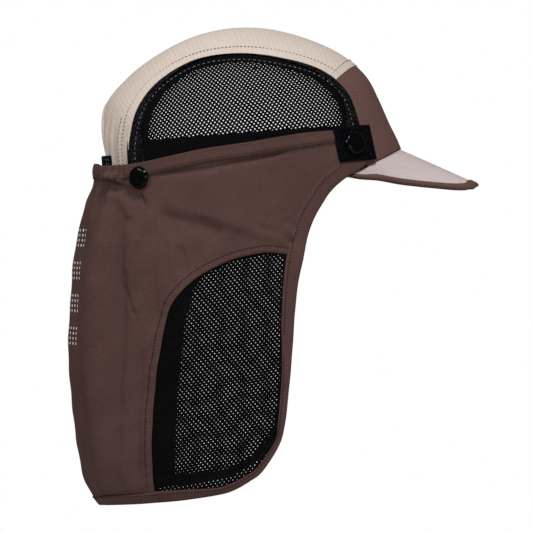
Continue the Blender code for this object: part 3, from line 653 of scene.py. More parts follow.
def thread(name, lines, material):
    """Separate stitches along lines, each line given as points and outward normals."""
    pitch, length, radius = STITCHES[name]
    rings = ((-0.5, 0.25), (-0.36, 0.9), (0.36, 0.9), (0.5, 0.25))
    faces_of_one = []
    for k in range(len(rings) - 1):
        for j in range(4):
            faces_of_one.append((4 * k + j, 4 * k + (j + 1) % 4, 4 * k + 4 + (j + 1) % 4, 4 * k + 4 + j))
    faces_of_one += [(3, 2, 1, 0), (12, 13, 14, 15)]
    points = []
    for line, normals in lines:
        steps = np.concatenate([[0], np.cumsum(np.linalg.norm(np.diff(line, axis=0), axis=1))])
        count = max(int(steps[-1] / pitch), 1)
        at = (np.arange(count) + 0.5) * steps[-1] / count
        for share in at:
            ends = [np.array([np.interp(share + d * length, steps, line[:, k]) for k in range(3)])
                    for d in (-0.5, 0.5)]
            run = ends[1] - ends[0]
            run /= max(np.linalg.norm(run), 1e-9)
            normal = np.array([np.interp(share, steps, normals[:, k]) for k in range(3)])
            normal -= run * normal.dot(run)
            normal /= max(np.linalg.norm(normal), 1e-9)
            side = np.cross(run, normal)
            middle = (ends[0] + ends[1]) / 2
            for back, wide in rings:
                for turn in range(4):
                    a = turn * math.pi / 2 + math.pi / 4
                    points.append(middle + run * back * length
                                  + radius * wide * 1.4 * (side * math.cos(a) + normal * math.sin(a)))
    points = np.array(points)
    count = len(points) // 16
    faces = [tuple(16 * k + corner for corner in face) for k in range(count) for face in faces_of_one]
    return new_piece(name, points, faces, points[:, :2], material, ())


# Materials
def linear(*colour):
    """A colour given from 0 to 255 as it looks on a screen, as light."""
    return tuple(c / 255 / 12.92 if c < 10.3 else ((c / 255 + 0.055) / 1.055) ** 2.4 for c in colour) + (1,)


class Look:
    """A new material, with short ways to add nodes that give a colour, a height or a share."""

    def __init__(self, name, roughness, specular):
        self.material = bpy.data.materials.new(name)
        self.material.use_nodes = True
        self.tree = self.material.node_tree
        self.shader = self.tree.nodes["Principled BSDF"]
        self.shader.inputs["Roughness"].default_value = roughness
        self.shader.inputs["Specular IOR Level"].default_value = specular

    def set(self, socket, value):
        """Gives a socket a number or a colour, or links another node's result to it."""
        if isinstance(value, (int, float, tuple)):
            socket.default_value = value
        else:
            self.tree.links.new(value, socket)

    def math(self, operation, first, second):
        made = self.tree.nodes.new("ShaderNodeMath")
        made.operation = operation
        self.set(made.inputs[0], first)
        self.set(made.inputs[1], second)
        return made.outputs[0]

    def stretched(self, value, low, high, to_low=0.0, to_high=1.0):
        made = self.tree.nodes.new("ShaderNodeMapRange")
        for socket, given in zip(made.inputs, (value, low, high, to_low, to_high)):
            self.set(socket, given)
        return made.outputs["Result"]

    def waves(self, direction, pitch):
        """Lines across the cloth at a pitch in metres."""
        spot = self.tree.nodes.new("ShaderNodeUVMap")
        spot.uv_map = "UVMap"
        made = self.tree.nodes.new("ShaderNodeTexWave")
        made.bands_direction = direction
        made.inputs["Scale"].default_value = 2 * math.pi / 20 / pitch
        self.set(made.inputs["Vector"], spot.outputs["UV"])
        return made.outputs["Fac"]

    def mottle(self, size, detail=3.0):
        """Soft variation over the piece, with patches of a size in metres."""
        spot = self.tree.nodes.new("ShaderNodeTexCoord")
        made = self.tree.nodes.new("ShaderNodeTexNoise")
        made.inputs["Scale"].default_value = 1 / size
        made.inputs["Detail"].default_value = detail
        self.set(made.inputs["Vector"], spot.outputs["Object"])
        return made.outputs["Fac"]

    def blend(self, factor, first, second):
        made = self.tree.nodes.new("ShaderNodeMix")
        made.data_type = "RGBA"
        self.set(made.inputs["Factor"], factor)
        self.set(made.inputs[6], first)
        self.set(made.inputs[7], second)
        return made.outputs[2]

    def finished(self, colour, roughness=None, height=None, bump=0.0):
        self.set(self.shader.inputs["Base Color"], colour)
        if roughness is not None:
            self.set(self.shader.inputs["Roughness"], roughness)
        if height is not None:
            made = self.tree.nodes.new("ShaderNodeBump")
            made.inputs["Distance"].default_value = bump
            made.inputs["Strength"].default_value = 1.0
            self.set(made.inputs["Height"], height)
            self.set(self.shader.inputs["Normal"], made.outputs["Normal"])
        return self.material


def woven(name, colour, shade, roughness, across, up, bump, specular, grid=0.0, grid_colour=None,
          flecks=0.0, fleck_colour=None):
    """Cloth of crossing threads; grid adds the thicker threads of a ripstop at that pitch."""
    look = Look(name, roughness, specular)
    weave = look.math("MULTIPLY", look.waves("X", across), look.waves("Y", up))
    broad = look.stretched(look.mottle(0.030), 0.35, 0.65)
    fine = look.stretched(look.mottle(0.0016, 2.0), 0.3, 0.7)
    factor = look.math("ADD", look.math("MULTIPLY", fine, 0.5), look.math("MULTIPLY", broad, 0.35))
    base = look.blend(factor, colour, shade)
    height = look.math("ADD", weave, look.math("MULTIPLY", fine, 0.4))
    if grid:
        thick = look.math("MAXIMUM", look.waves("X", grid), look.waves("Y", grid))
        thick = look.stretched(thick, 0.86, 0.98)
        base = look.blend(thick, base, grid_colour)
        height = look.math("ADD", height, look.math("MULTIPLY", thick, 1.6))
    if flecks:
        speck = look.stretched(look.mottle(flecks, 1.0), 0.58, 0.68)
        base = look.blend(speck, base, fleck_colour)
    worn = look.stretched(broad, 0, 1, roughness - 0.05, min(roughness + 0.08, 1))
    return look.finished(base, worn, height, bump)


def plain_fibre(name, colour, shade, roughness):
    """Thread and print: too small for a weave, with uneven colour and a twisted relief."""
    look = Look(name, roughness, 0.4)
    patches = look.stretched(look.mottle(0.0022, 2.0), 0.35, 0.65)
    return look.finished(look.blend(patches, colour, shade), height=look.mottle(0.0004, 2.0), bump=0.0001)


def gloss(name):
    """Smooth black plastic with faint wear."""
    look = Look(name, 0.12, 0.10)
    patches = look.stretched(look.mottle(0.004, 2.0), 0.4, 0.6)
    worn = look.stretched(look.mottle(0.0015, 3.0), 0.3, 0.7, 0.05, 0.14)
    colour = look.blend(patches, linear(1, 1, 1), linear(3, 3, 3))
    return look.finished(colour, worn, look.mottle(0.0012, 2.0), 0.00002)


# Two colours that the cloth mixes, roughness, thread pitch across and up, bump, gloss
BEIGE = woven(
    "beige_ripstop", linear(190, 177, 166), linear(180, 166, 154), 0.8, 0.0006, 0.0006, 0.00008, 0.05,
    grid=0.0034, grid_colour=linear(195, 183, 172),
)
PEAK_CLOTH = woven(
    "peak_ripstop", linear(197, 184, 182), linear(184, 171, 169), 0.7, 0.0006, 0.0006, 0.00005, 0.05,
    grid=0.0021, grid_colour=linear(168, 156, 154),
)
PANEL = woven("brown_panel", linear(95, 71, 66), linear(90, 66, 61), 0.8, 0.0007, 0.0007, 0.00010, 0.05)
NYLON = woven("brown_nylon", linear(82, 60, 55), linear(68, 49, 45), 0.8, 0.0009, 0.0013, 0.00014, 0.05)
EDGING = woven("brown_edging", linear(96, 70, 65), linear(80, 57, 52), 0.7, 0.0008, 0.0008, 0.0002, 0.12)
WEBBING = woven(
    "black_webbing", linear(4, 4, 5), linear(2, 2, 3), 0.8, 0.0012, 0.0010, 0.0004, 0.03,
    flecks=0.0008, fleck_colour=linear(27, 30, 39),
)
BINDING = woven(
    "black_binding", linear(12, 11, 13), linear(5, 5, 6), 0.85, 0.0011, 0.0015, 0.0008, 0.03,
    flecks=0.0007, fleck_colour=linear(66, 64, 68),
)
NET = woven("black_net", linear(12, 12, 14), linear(8, 8, 9), 0.9, 0.0005, 0.0005, 0.0001, 0.02)
BAND_CLOTH = woven(
    "black_sweatband", linear(72, 72, 78), linear(56, 56, 62), 0.9, 0.0008, 0.0008, 0.0002, 0.03,
)
# Painted shade: the strip's thread is darker than the beige to stand for the shade in its needle holes.
HOLE_SHADE_THREAD = plain_fibre("shaded_thread", linear(120, 102, 94), linear(92, 76, 70), 0.8)
PANEL_THREAD = plain_fibre("panel_thread", linear(134, 106, 96), linear(104, 80, 72), 0.7)
BROWN_THREAD = plain_fibre("brown_thread", linear(104, 80, 74), linear(74, 54, 50), 0.7)
# Painted shade: the cape's brown thread is made near black to stand for the shade in its needle holes along
# the stitched lines.
DARK_THREAD_AND_HOLE_SHADE = plain_fibre("dark_thread_hole_shade", linear(30, 20, 19), linear(20, 14, 14), 0.9)
GREY_THREAD = plain_fibre("grey_thread", linear(128, 126, 128), linear(84, 82, 84), 0.7)
PRINT = plain_fibre("pale_print", linear(244, 244, 246), linear(222, 222, 226), 0.5)
SNAP_PLASTIC = gloss("black_gloss")


# The crown
def binding_width(angle):
    ends = along(BINDING_SPREAD, np.degrees(angle))
    return BINDING_WIDTH + ends * (BINDING_END_WIDTH - BINDING_WIDTH)


def front_seam(across):
    """Angle up from the front of the seam between the strip and the front panel."""
    return FRONT_SEAM_ANGLE + math.radians(2.6) * np.abs(across) ** 1.5 - math.radians(0.9)


def crown_line(angle, side_share, lift):
    """Points and normals of a line over the crown, by its share of the way out to the arched seam."""
    points = on_crown(angle, side_share * side_of(arch_share(angle)))
    normal = crown_normals(points)
    return points + lift * normal, normal


def build_top_stitches():
    """The rows of stitches beside the strip's seams."""
    dark, pale = [], []
    for side in (-1, 1):
        angle = np.linspace(front_seam(1.0) + 0.01, RIM_BACK_ANGLE - 0.01, 400)
        share = side * (1 - 0.0049 / side_of(arch_share(angle)))
        dark.append(crown_line(angle, share, 0.00045))
        angle = np.linspace(front_seam(1.0) - 0.02, 0.14, 200)
        share = side * (1 - 0.0052 / side_of(arch_share(angle)))
        pale.append(crown_line(angle, share, 0.00030))
        angle = np.radians(np.linspace(153, 184, 60))
        share = side * (1 - 0.0082 / side_of(arch_share(angle)))
        dark.append(crown_line(angle, share, 0.00045))
    across = np.linspace(-1, 1, 240)
    dark.append(crown_line(front_seam(across) + 0.0058 / CROWN_REACH, across, 0.00055))
    thread("strip_stitches", dark, HOLE_SHADE_THREAD)
    thread("panel_stitches", pale, PANEL_THREAD)


def build_strip():
    """The beige strip over the top and down the back, with the opening behind."""
    across = np.linspace(-1, 1, 121)
    front = front_seam(across)
    angle = front + np.linspace(0, 1, 190)[:, None] * (RIM_BACK_ANGLE - front)
    edge = side_of(arch_share(angle))
    points = on_crown(angle, across * edge)
    run = np.degrees(angle)
    from_seam = (angle - front) * CROWN_REACH
    from_edge = (1 - np.abs(across)) * edge
    lift = 0.0004 * (1 - ease(from_seam, *STRIP_END_FOLD))
    lift = lift + SIDE_FOLD_LIFT * (1 - ease(from_edge, *SIDE_FOLD))
    low = ease(run, 150, 166)
    wave = np.sin(PUCKER_COUNT * across * 0.55 + 1.2 * np.sin(9 * across)) * PUCKER_DEPTH
    lift = lift + low * wave * (0.35 + 0.65 * ease(np.abs(across), 0.25, 0.7))
    lift = lift + 0.0004 * np.sin(5 * across + 0.09 * run) * ease(run, 60, 90)
    points = points + lift[..., None] * crown_normals(points)
    middle = (points[:-1, :-1] + points[1:, 1:]) / 2
    bottom = RIM_SLOPE * -CROWN_REACH
    rise = np.clip((middle[..., 2] - bottom) / (VENT_TOP - bottom), 0, 1)
    solid = (middle[..., 0] > 0) | (rise >= 1)
    keep = solid | (np.abs(middle[..., 1]) > VENT_HALF_WIDTH * np.sqrt(1 - rise**2))
    surface("crown_cloth", points, BEIGE, ["crown_strip"], CLOTH_WALL, keep=keep)


def build_front_panel():
    across = np.linspace(-1, 1, 121)
    front = front_seam(across)
    low_share = share_at(across * side_of(arch_share(0.17)))
    start = rim_angle(low_share)
    t = np.linspace(0, 1, 44)[:, None]
    angle = start + t * (front - start)
    edge = side_of(arch_share(angle))
    points = on_crown(angle, across * edge)
    from_edge = (1 - np.abs(across)) * edge
    lift = SIDE_FOLD_LIFT * (1 - ease(from_edge, *SIDE_FOLD)) - 0.0002
    points = points + lift[..., None] * crown_normals(points)
    surface("front_cloth", points, PANEL, ["front_panel"], CLOTH_WALL)


def build_vent_edge():
    """The bound edge of the opening behind."""
    bottom = RIM_SLOPE * -CROWN_REACH
    t = np.linspace(0.0, math.pi, 90)
    y = -VENT_HALF_WIDTH * np.cos(t)
    z = bottom + 0.0008 + (VENT_TOP - bottom) * np.sin(t)
    way = np.stack([-np.cos(t) / VENT_HALF_WIDTH, np.sin(t) / (VENT_TOP - bottom)], -1)
    way /= np.linalg.norm(way, axis=-1, keepdims=True)
    rings = []
    section = np.linspace(0, 2 * math.pi, 13)[:-1]
    for a in section:
        wide = VENT_ROLL[0] * np.cos(a)
        py = y + (wide + 0.0008) * way[:, 0]
        pz = z + (wide + 0.0008) * way[:, 1]
        radius = crown_radius(math.pi - np.arcsin(np.clip(np.abs(py) / 0.1, 0, 0.9)), pz)
        x = -np.sqrt(np.maximum(radius**2 - py**2, 1e-6))
        out = np.stack([x, py, pz], -1)
        rings.append(out + (VENT_ROLL[1] * np.sin(a) - 0.0002) * crown_normals(out))
    tube("vent_binding", np.array(rings).transpose(1, 0, 2), BEIGE)


def side_line(inward, angle, side, lift=0.0):
    """Points and normals a distance in from the arched seam."""
    share = arch_share(angle) - inward / line_reach(angle)
    points = arch_place(angle, share, side)
    normal = crown_normals(points)
    return points + np.asarray(lift)[..., None] * normal, normal


def build_bindings():
    """On each side the double band along the arched seam."""
    for side, word in ((-1, "right"), (1, "left")):
        start = 0.15
        for _ in range(4):
            start = float(rim_angle(arch_share(start) - 0.5 * binding_width(start) / line_reach(start)))
        angle = np.linspace(start, RIM_BACK_ANGLE, 220)
        across = np.linspace(-0.12, 1.0, 27)[:, None]
        width = binding_width(angle)
        inward = across * width
        first = np.sin(math.pi * np.clip(inward / BINDING_FOLD, 0, 1))
        in_second = (inward - BINDING_FOLD) / np.maximum(width - BINDING_FOLD, 1e-4)
        second = 0.75 * np.sin(math.pi * np.clip(in_second, 0, 1))
        roll = np.where(inward < BINDING_FOLD, first, second) ** 0.6
        rope = 0.00012 * np.sin(angle * 0.1 / 0.0016 * 2 * math.pi + inward * 2200)
        lift = 0.0001 + BINDING_PUFF * roll + rope * roll
        points, _ = side_line(inward, angle + 0 * inward, side, lift)
        low = rim_height(points[..., 0]) + 0.0002
        points[..., 2] = np.maximum(points[..., 2], low)
        surface("binding_" + word + "_band", points, BINDING, ["binding_" + word], CLOTH_WALL)
        line, normal = side_line(BINDING_FOLD + 0 * angle, angle, side, 0.00035)
        thread("binding_" + word + "_stitches", [(line, normal)], GREY_THREAD)


def build_crown_nets():
    """The net sides of the crown, laid flat by the distance from the middle of the head opening."""
    angles = np.radians(np.linspace(-8, 190, 100))
    shares = np.linspace(0, 0.97, 160)
    reach = line_reach(angles)[:, None] * shares
    out = side_of(shares)[None, :] + 0 * reach
    steps = np.hypot(np.diff(reach, axis=1), np.diff(out, axis=1))
    length = np.concatenate([np.zeros((len(angles), 1)), np.cumsum(steps, axis=1)], axis=1)

    def share_of(spots):
        angle = np.arctan2(spots[:, 1], spots[:, 0])
        angle = np.where(angle < math.radians(-8), angle + 2 * math.pi, angle)
        far = np.hypot(spots[:, 0], spots[:, 1])
        row = np.clip((angle - angles[0]) / (angles[1] - angles[0]), 0, len(angles) - 1.001)
        first = row.astype(int)
        part = row - first
        share = np.zeros(len(spots))
        for k in np.unique(first):
            chosen = first == k
            low = np.interp(far[chosen], length[k], shares)
            high = np.interp(far[chosen], length[k + 1], shares)
            share[chosen] = low + part[chosen] * (high - low)
        return angle, share

    def depth_in(spots):
        """How far inside the double band's inner edge a spot lies."""
        angle, share = share_of(spots)
        limit = arch_share(angle) - binding_width(angle) / line_reach(angle)
        return (limit - share) * line_reach(angle)

    def wanted(spots):
        angle, share = share_of(spots)
        reach = share * line_reach(angle)
        above = reach * np.sin(angle) - rim_height(reach * np.cos(angle))
        return (depth_in(spots) > -NET_LAP) & (above > 0.0008)

    def radius_at(spots):
        border = 0.70 + 0.30 * ease(depth_in(spots), -0.001, 0.012)
        rear = 0.94 + 0.06 * ease(spots[:, 0], -0.078, -0.035)
        return CROWN_HOLE_RADIUS * border * rear

    spots, faces = lattice((-0.13, -0.02), (0.13, 0.13), CROWN_NET_STEPS, radius_at, wanted)
    angle, share = share_of(spots)
    right = arch_place(angle, share, -1)
    right[:, 2] = np.maximum(right[:, 2], rim_height(right[:, 0]) + 0.0003)

    # The left net's holes lie behind the right one's as seen from the camera, so that the two don't
    # blot each other out in bands
    eye = np.array(CAMERA_PLACE)
    way = right - eye
    left = right * (1, -1, 1)
    for _ in range(8):
        left = eye + way * ((left[:, 1:2] - eye[1]) / way[:, 1:2])
        left[:, 1] = side_of(np.minimum(crown_share(left[:, 0], left[:, 2]), 0.985))
    for points, word in ((right, "right"), (left, "left")):
        points = points - NET_DEPTH * crown_normals(points)
        net("crown_net_" + word, spots, faces, points, ["side_mesh_" + word])


def build_sweatband():
    turn = np.radians(np.linspace(-158, 158, 220))
    rows = []
    for t in np.linspace(0, 1, 26):
        z = 0 * turn
        for _ in range(6):
            radius = crown_radius(turn, z)
            z = rim_height(radius * np.cos(turn)) + t * SWEATBAND_HEIGHT
        inset = CROWN_WALL + SEAM_GAP + (SWEATBAND_INSET - CROWN_WALL) * ease(t, 0, 0.12)
        puff = 0.0004 * math.sin(math.pi * min(t * 1.1, 1)) + 0.0005 * ease(t, 0.9, 1)
        radius = crown_radius(turn, z) - inset - 0.0004 + puff
        rows.append(np.stack([radius * np.cos(turn), radius * np.sin(turn), z], -1))
    rows = np.array(rows)
    surface("sweatband_cloth", rows, BAND_CLOTH, ["sweatband"], SWEATBAND_WALL)
    line = rows[-3]
    normal = line * (-1, -1, 0)
    normal /= np.linalg.norm(normal, axis=-1, keepdims=True)
    thread("sweatband_stitches", [(line + 0.0011 * normal, normal)], GREY_THREAD)


def build_strap():
    """The strap over the opening, with stitched ends."""
    reach = math.asin(STRAP_HALF_LENGTH / CROWN_REACH)
    turn = math.pi + np.linspace(-reach, reach, 90)
    rows = []
    for t in np.linspace(-1, 1, 27):
        z = STRAP_MIDDLE + t * STRAP_WIDTH / 2
        rib = 0.00012 * math.cos(t * 13 * math.pi)
        radius = crown_radius(turn, z + 0 * turn) + STRAP_WALL + SEAM_GAP + rib - 0.0003 * abs(t) ** 8
        rows.append(np.stack([radius * np.cos(turn), radius * np.sin(turn), z + 0 * turn], -1))
    rows = np.array(rows)
    surface("strap_webbing", rows, WEBBING, ["back_strap"], STRAP_WALL)
    lines = []
    for column in (4, 9, -10, -5):
        line = rows[2:-2, column]
        normal = line * (1, 1, 0)
        normal /= np.linalg.norm(normal, axis=-1, keepdims=True)
        lines.append((line + 0.00012 * normal, normal))
    thread("strap_stitches", lines, GREY_THREAD)


# The peak
def peak_form():
    """The peak's seam, the edging's inner line and the tip, and a way to read rows between two of them."""
    s = np.linspace(-1, 1, 241)
    side = s * (PEAK_HALF_WIDTH - PEAK_SEAM_INSET)
    rear = on_crown(rim_angle(share_at(side)), side)
    rear[:, 2] -= SEAM_GAP
    rear[:, 0] -= 0.3 * CROWN_WALL
    nose = float(on_crown(rim_angle(share_at(0.0)), np.array(0.0))[0])
    seam = float(rim_height(nose))

    def height(x, y):
        middle = seam - PEAK_FALL * (x - nose) / PEAK_LENGTH
        out = y / PEAK_HALF_WIDTH
        raised_side = PEAK_SIDE_RAISE * ease(out, 0.5, 0.95)
        return middle + raised_side - WORN_PEAK_CURL * np.abs(out) ** WORN_PEAK_CURL_POWER

    tip = np.stack([
        nose + PEAK_LENGTH * along(PEAK_OUTLINE, np.abs(s)),
        np.sign(s) * PEAK_HALF_WIDTH * along(PEAK_OUTLINE, np.abs(s), 2),
    ], -1)
    back = rear[:, :2] - tip
    length = np.linalg.norm(back, axis=-1, keepdims=True)
    inner = tip + back / length * np.minimum(WORN_EDGING_WIDTH, 0.45 * length)
    lift = rear[:, 2] - height(rear[:, 0], rear[:, 1])

    def row(start, end, t):
        flat = start + t * (end - start)
        left_over = np.linalg.norm(flat - tip, axis=-1) / length[:, 0]
        z = height(flat[:, 0], flat[:, 1]) + lift * left_over**2
        return np.column_stack([flat, z])

    return rear, inner, tip, row


def build_peak():
    rear, inner, tip, row = peak_form()
    below = (0.8 * CROWN_REACH, 0, -3 * CROWN_REACH)
    points = np.array([row(rear[:, :2], inner, t) for t in np.linspace(0, 1.1, 28)])
    surface("peak_cloth", points, PEAK_CLOTH, ["peak"], PEAK_WALL, toward=below)

    middle = [row(inner, tip, t) for t in (0.4, 0.5, 0.6)]
    run = np.gradient(middle[1], axis=0)
    normal = np.cross(run, middle[2] - middle[0])
    normal /= np.linalg.norm(normal, axis=-1, keepdims=True)
    normal *= np.sign(normal[:, 2:])
    ends = 1 - 0.6 * ease(np.abs(np.linspace(-1, 1, len(run))), 0.98, 1.0)[:, None]
    rows = []
    for a in np.linspace(0, 2 * math.pi, 19)[:-1]:
        t = 0.5 + 0.5 * math.copysign(abs(math.cos(a)) ** 0.6, math.cos(a))
        high = PEAK_ROLL_HALF * math.sin(a) - PEAK_WALL / 2 + 0.0002
        rows.append(row(inner, tip, 1 - t) + high * normal * ends)
    tube("peak_edge_roll", np.array(rows).transpose(1, 0, 2), EDGING, ["peak_edging"])
    lines = [(row(inner, tip, 0.26) + 0.00078 * normal, normal)]
    thread("peak_stitches", lines, BROWN_THREAD)


# The cape
def spread_back(start, sides, behind):
    """Turns from the start to the gathers and on to the middle of the back."""
    start = np.asarray(start)[..., None]
    side = start + (GATHERS_START - start) * np.linspace(0, 1, sides)
    rest = np.linspace(GATHERS_START, math.pi, behind)[1:] + 0 * start
    return np.concatenate([side, rest], -1)


def round_the_back(half, lift=0.0):
    """Rows of turns and heights from an edge to the middle of the back, made into rows all round."""
    points, _ = raised(cape_place(half[..., 0], half[..., 1]), lift)
    points[:, -1, 1] = 0
    left = points[:, -2::-1] * (1, -1, 1)
    return np.concatenate([points, left], axis=1)


def cape_lines():
    """Outer and inner line of the hem and the inset's seam, as turns and heights."""
    hem = np.array(HEM_LINE)
    outer = placed(hem[:, 0], hem[:, 1])
    inner = placed(hem[:, 2], hem[:, 3])
    for line in (outer, inner):
        line[0, 1] = band_edges(line[0, 0])[1]
    seam = np.array(INSET_SEAM)
    return outer, inner, placed(seam[:, 0], seam[:, 1])


def mirrored(lines):
    return lines + [(line * (1, -1, 1), normal * (1, -1, 1)) for line, normal in lines]


def cape_track(turn, z, lift):
    """Points and normals of a line on the cape."""
    pair = np.stack([np.stack([turn, z], -1), np.stack([turn, z - 0.0006], -1)])
    points, normal = raised(cape_place(pair[..., 0], pair[..., 1]), lift)
    return points[0], normal[0]


def beside(line, distance):
    """A side-view line moved across by a distance; plus is to its left."""
    way = np.gradient(line, axis=0)
    way /= np.maximum(np.linalg.norm(way, axis=-1, keepdims=True), 1e-9)
    return line + distance * np.stack([-way[:, 1], way[:, 0]], -1)


def build_channel():
    """The doubled band along the top of the cape."""
    turn = spread_back(placed(CAPE_TOP[0][0], CAPE_TOP[0][1])[0], *CHANNEL_COLUMNS)
    top, low = band_edges(turn)
    rows = []
    lifts = []
    for t in np.linspace(0, 1.12, 13):
        rows.append(np.stack([turn, top + t * (low - top)], -1))
        puff = CHANNEL_PUFF * math.sin(math.pi * min(t, 1.0)) ** 0.7
        lifts.append(puff + 0.0002 - 0.0004 * max(t - 1, 0) / 0.12)
    lifts = np.array(lifts)[:, None] + 0 * turn
    surface("cape_channel", round_the_back(np.array(rows), lifts), NYLON, ["cape_top_band"], CLOTH_WALL,
            toward=CAPE_INSIDE)


def build_hem(outer, inner):
    """The doubled edge down the front of the cape and round its bottom."""
    steps = np.linspace(0, len(HEM_LINE) - 1, 330)
    inside = at_rows(inner, steps)
    outside = at_rows(outer, steps)
    across = np.linspace(-0.12, 1, 14)[:, None, None]
    rows = inside + across * (outside - inside)
    across = np.clip(across[..., 0], 0, 1)
    lean = HEM_LEAN * ease(-outside[:, 1] / CAPE_DROP, 0.88, 0.95)
    lifts = HEM_LIFT * (1 - np.abs(2 * across - 1) ** 6) + 0.0001 - lean * across**1.4
    surface("cape_hem_fold", round_the_back(rows, lifts), NYLON, ["cape_hem"], 2 * CLOTH_WALL,
            toward=CAPE_INSIDE)


def build_cape_cloth(inner, seam_line):
    """The brown cloth, above and then behind the inset."""
    turn = spread_back(inner[0, 0], *CLOTH_COLUMNS)
    under_band = np.stack([turn, band_edges(turn)[1]], -1)
    along_seam = at_rows(seam_line, np.linspace(0, INSET_CORNER, INSET_COLUMNS + 1))
    corner = along_seam[-1]
    sides = CLOTH_COLUMNS[0]
    beyond = np.concatenate([np.linspace(corner[0], GATHERS_START, sides - INSET_COLUMNS), turn[sides:]])
    way = (beyond - corner[0]) / (math.pi - corner[0])
    drop = corner[1] + way * (-CAPE_DROP * CLOTH_CORNER_DROP - corner[1])
    thread_line = np.stack([beyond, drop], -1)
    shared = np.concatenate([along_seam, thread_line[1:]])
    high, low = CLOTH_ROWS
    front = at_rows(inner, np.linspace(0, HEM_INSET_TOP, high))
    spine = np.linspace(0, 1, high)[:, None] * (shared[-1] - under_band[-1]) + under_band[-1]
    upper = patch(under_band, shared, front, spine)
    low_edge = at_rows(inner, np.linspace(HEM_INSET_BACK, len(HEM_LINE) - 1, len(thread_line)))
    inset_back = at_rows(seam_line, np.linspace(INSET_CORNER, len(INSET_SEAM) - 1, low))
    spine = np.linspace(0, 1, low)[:, None] * (low_edge[-1] - thread_line[-1]) + thread_line[-1]
    lower = patch(thread_line, low_edge, inset_back, spine)
    spare = np.repeat(lower[:, :1], INSET_COLUMNS, axis=1)
    grid = np.concatenate([upper, np.concatenate([spare, lower], axis=1)[1:]])
    points = round_the_back(grid)
    keep = np.ones((points.shape[0] - 1, points.shape[1] - 1), bool)
    keep[len(upper) - 1:, :INSET_COLUMNS] = False
    keep[len(upper) - 1:, -INSET_COLUMNS:] = False
    surface("cape_cloth", points, NYLON, ["cape_body"], CLOTH_WALL, toward=CAPE_INSIDE, keep=keep)


def build_cape_nets(inner, seam_line):
    """The nets set into the lower front of the cape, laid flat by the side view."""
    def side_view(line):
        return np.stack([cape_radius(line[:, 0], line[:, 1]) * np.cos(line[:, 0]), line[:, 1]], -1)

    top = side_view(at_rows(seam_line, np.linspace(0, len(INSET_SEAM) - 1, 160)))
    low = side_view(at_rows(inner, np.linspace(HEM_INSET_BACK, HEM_INSET_LOW, 60)))
    front = side_view(at_rows(inner, np.linspace(HEM_INSET_LOW, HEM_INSET_TOP, 100)))
    border = np.concatenate([top, low[1:], front[1:]])

    def inside(spots):
        x, z = spots[:, 0], spots[:, 1]
        crossed = np.zeros(len(spots), bool)
        for first, second in zip(border, np.roll(border, -1, axis=0)):
            between = (first[1] > z) != (second[1] > z)
            if between.any():
                at = first[0] + (z - first[1]) * (second[0] - first[0]) / (second[1] - first[1] + 1e-12)
                crossed ^= between & (x < at)
        return crossed

    def away(spots, line):
        best = np.full(len(spots), 9.0)
        for point in line:
            best = np.minimum(best, np.hypot(spots[:, 0] - point[0], spots[:, 1] - point[1]))
        return best

    def wanted(spots):
        near = (spots[:, 0] > -0.08) & (spots[:, 0] < 0.04) & (spots[:, 1] < -0.03)
        chosen = near.copy()
        part = spots[near]
        chosen[near] = inside(part) | (away(part, border) < NET_LAP)
        return chosen

    def radius_at(spots):
        within = np.where(inside(spots), away(spots, border), 0)
        return CAPE_HOLE_RADIUS * ease(within, 0.0002, 0.0022)

    def right_radius(spots):
        return radius_at(spots) * (0.76 + 0.24 * ease(away(spots, low), 0.004, 0.012))

    def left_radius(spots):
        """Painted shade: behind a line the left net's holes are closed, a dark sheet standing for the shade
        seen through the net there.
        """
        far, sign, _ = near_line(spots[:, 0], spots[:, 1], NET_SHADE_LINE)
        return radius_at(left_flat(spots)) * ease(sign * far, -0.0010, 0.0020)

    def right_place(spots):
        return cape_place(cape_turn(spots[:, 0], spots[:, 1]), spots[:, 1], -1)

    def left_flat(spots):
        """Side view of the left net's spots: behind the right's from the camera, but for a slow ripple."""
        eye = np.array(CAMERA_PLACE)
        way = right_place(spots) - eye
        x, z = spots[:, 0], spots[:, 1]
        ripple_x = NET_SHIFT + NET_RIPPLE * np.sin(420 * x + 150 * z + 1.6 * np.sin(160 * z))
        ripple_z = NET_RIPPLE * np.sin(-190 * x + 460 * z + 1.9 * np.sin(140 * x + 90 * z))
        ripple = np.stack([ripple_x, 0 * x, ripple_z], -1)
        for _ in range(7):
            left = cape_place(cape_turn(x, z), z, 1)
            missed = eye + way * ((left[:, 1:2] - eye[1]) / way[:, 1:2]) + ripple - left
            x = x + missed[:, 0]
            z = z + missed[:, 2]
        return np.stack([x, z], -1)

    def left_place(spots):
        flat = left_flat(spots)
        return cape_place(cape_turn(flat[:, 0], flat[:, 1]), flat[:, 1], 1)

    def wanted_left(spots):
        chosen = (spots[:, 0] > -0.09) & (spots[:, 0] < 0.05)
        chosen[chosen] = wanted(left_flat(spots[chosen]))
        return chosen

    for word, place, chosen, radius in (
        ("right", right_place, wanted, right_radius), ("left", left_place, wanted_left, left_radius),
    ):
        spots, faces = lattice((-0.085, -0.215), (0.045, -0.035), CAPE_NET_STEPS, radius, chosen)
        points = place(spots)
        away_from_axis = points * (1, 1, 0)
        away_from_axis /= np.linalg.norm(away_from_axis, axis=-1, keepdims=True)
        points = points - (NET_DEPTH + 0.0004) * away_from_axis
        net("cape_net_" + word, spots, faces, points, ["cape_mesh_" + word])


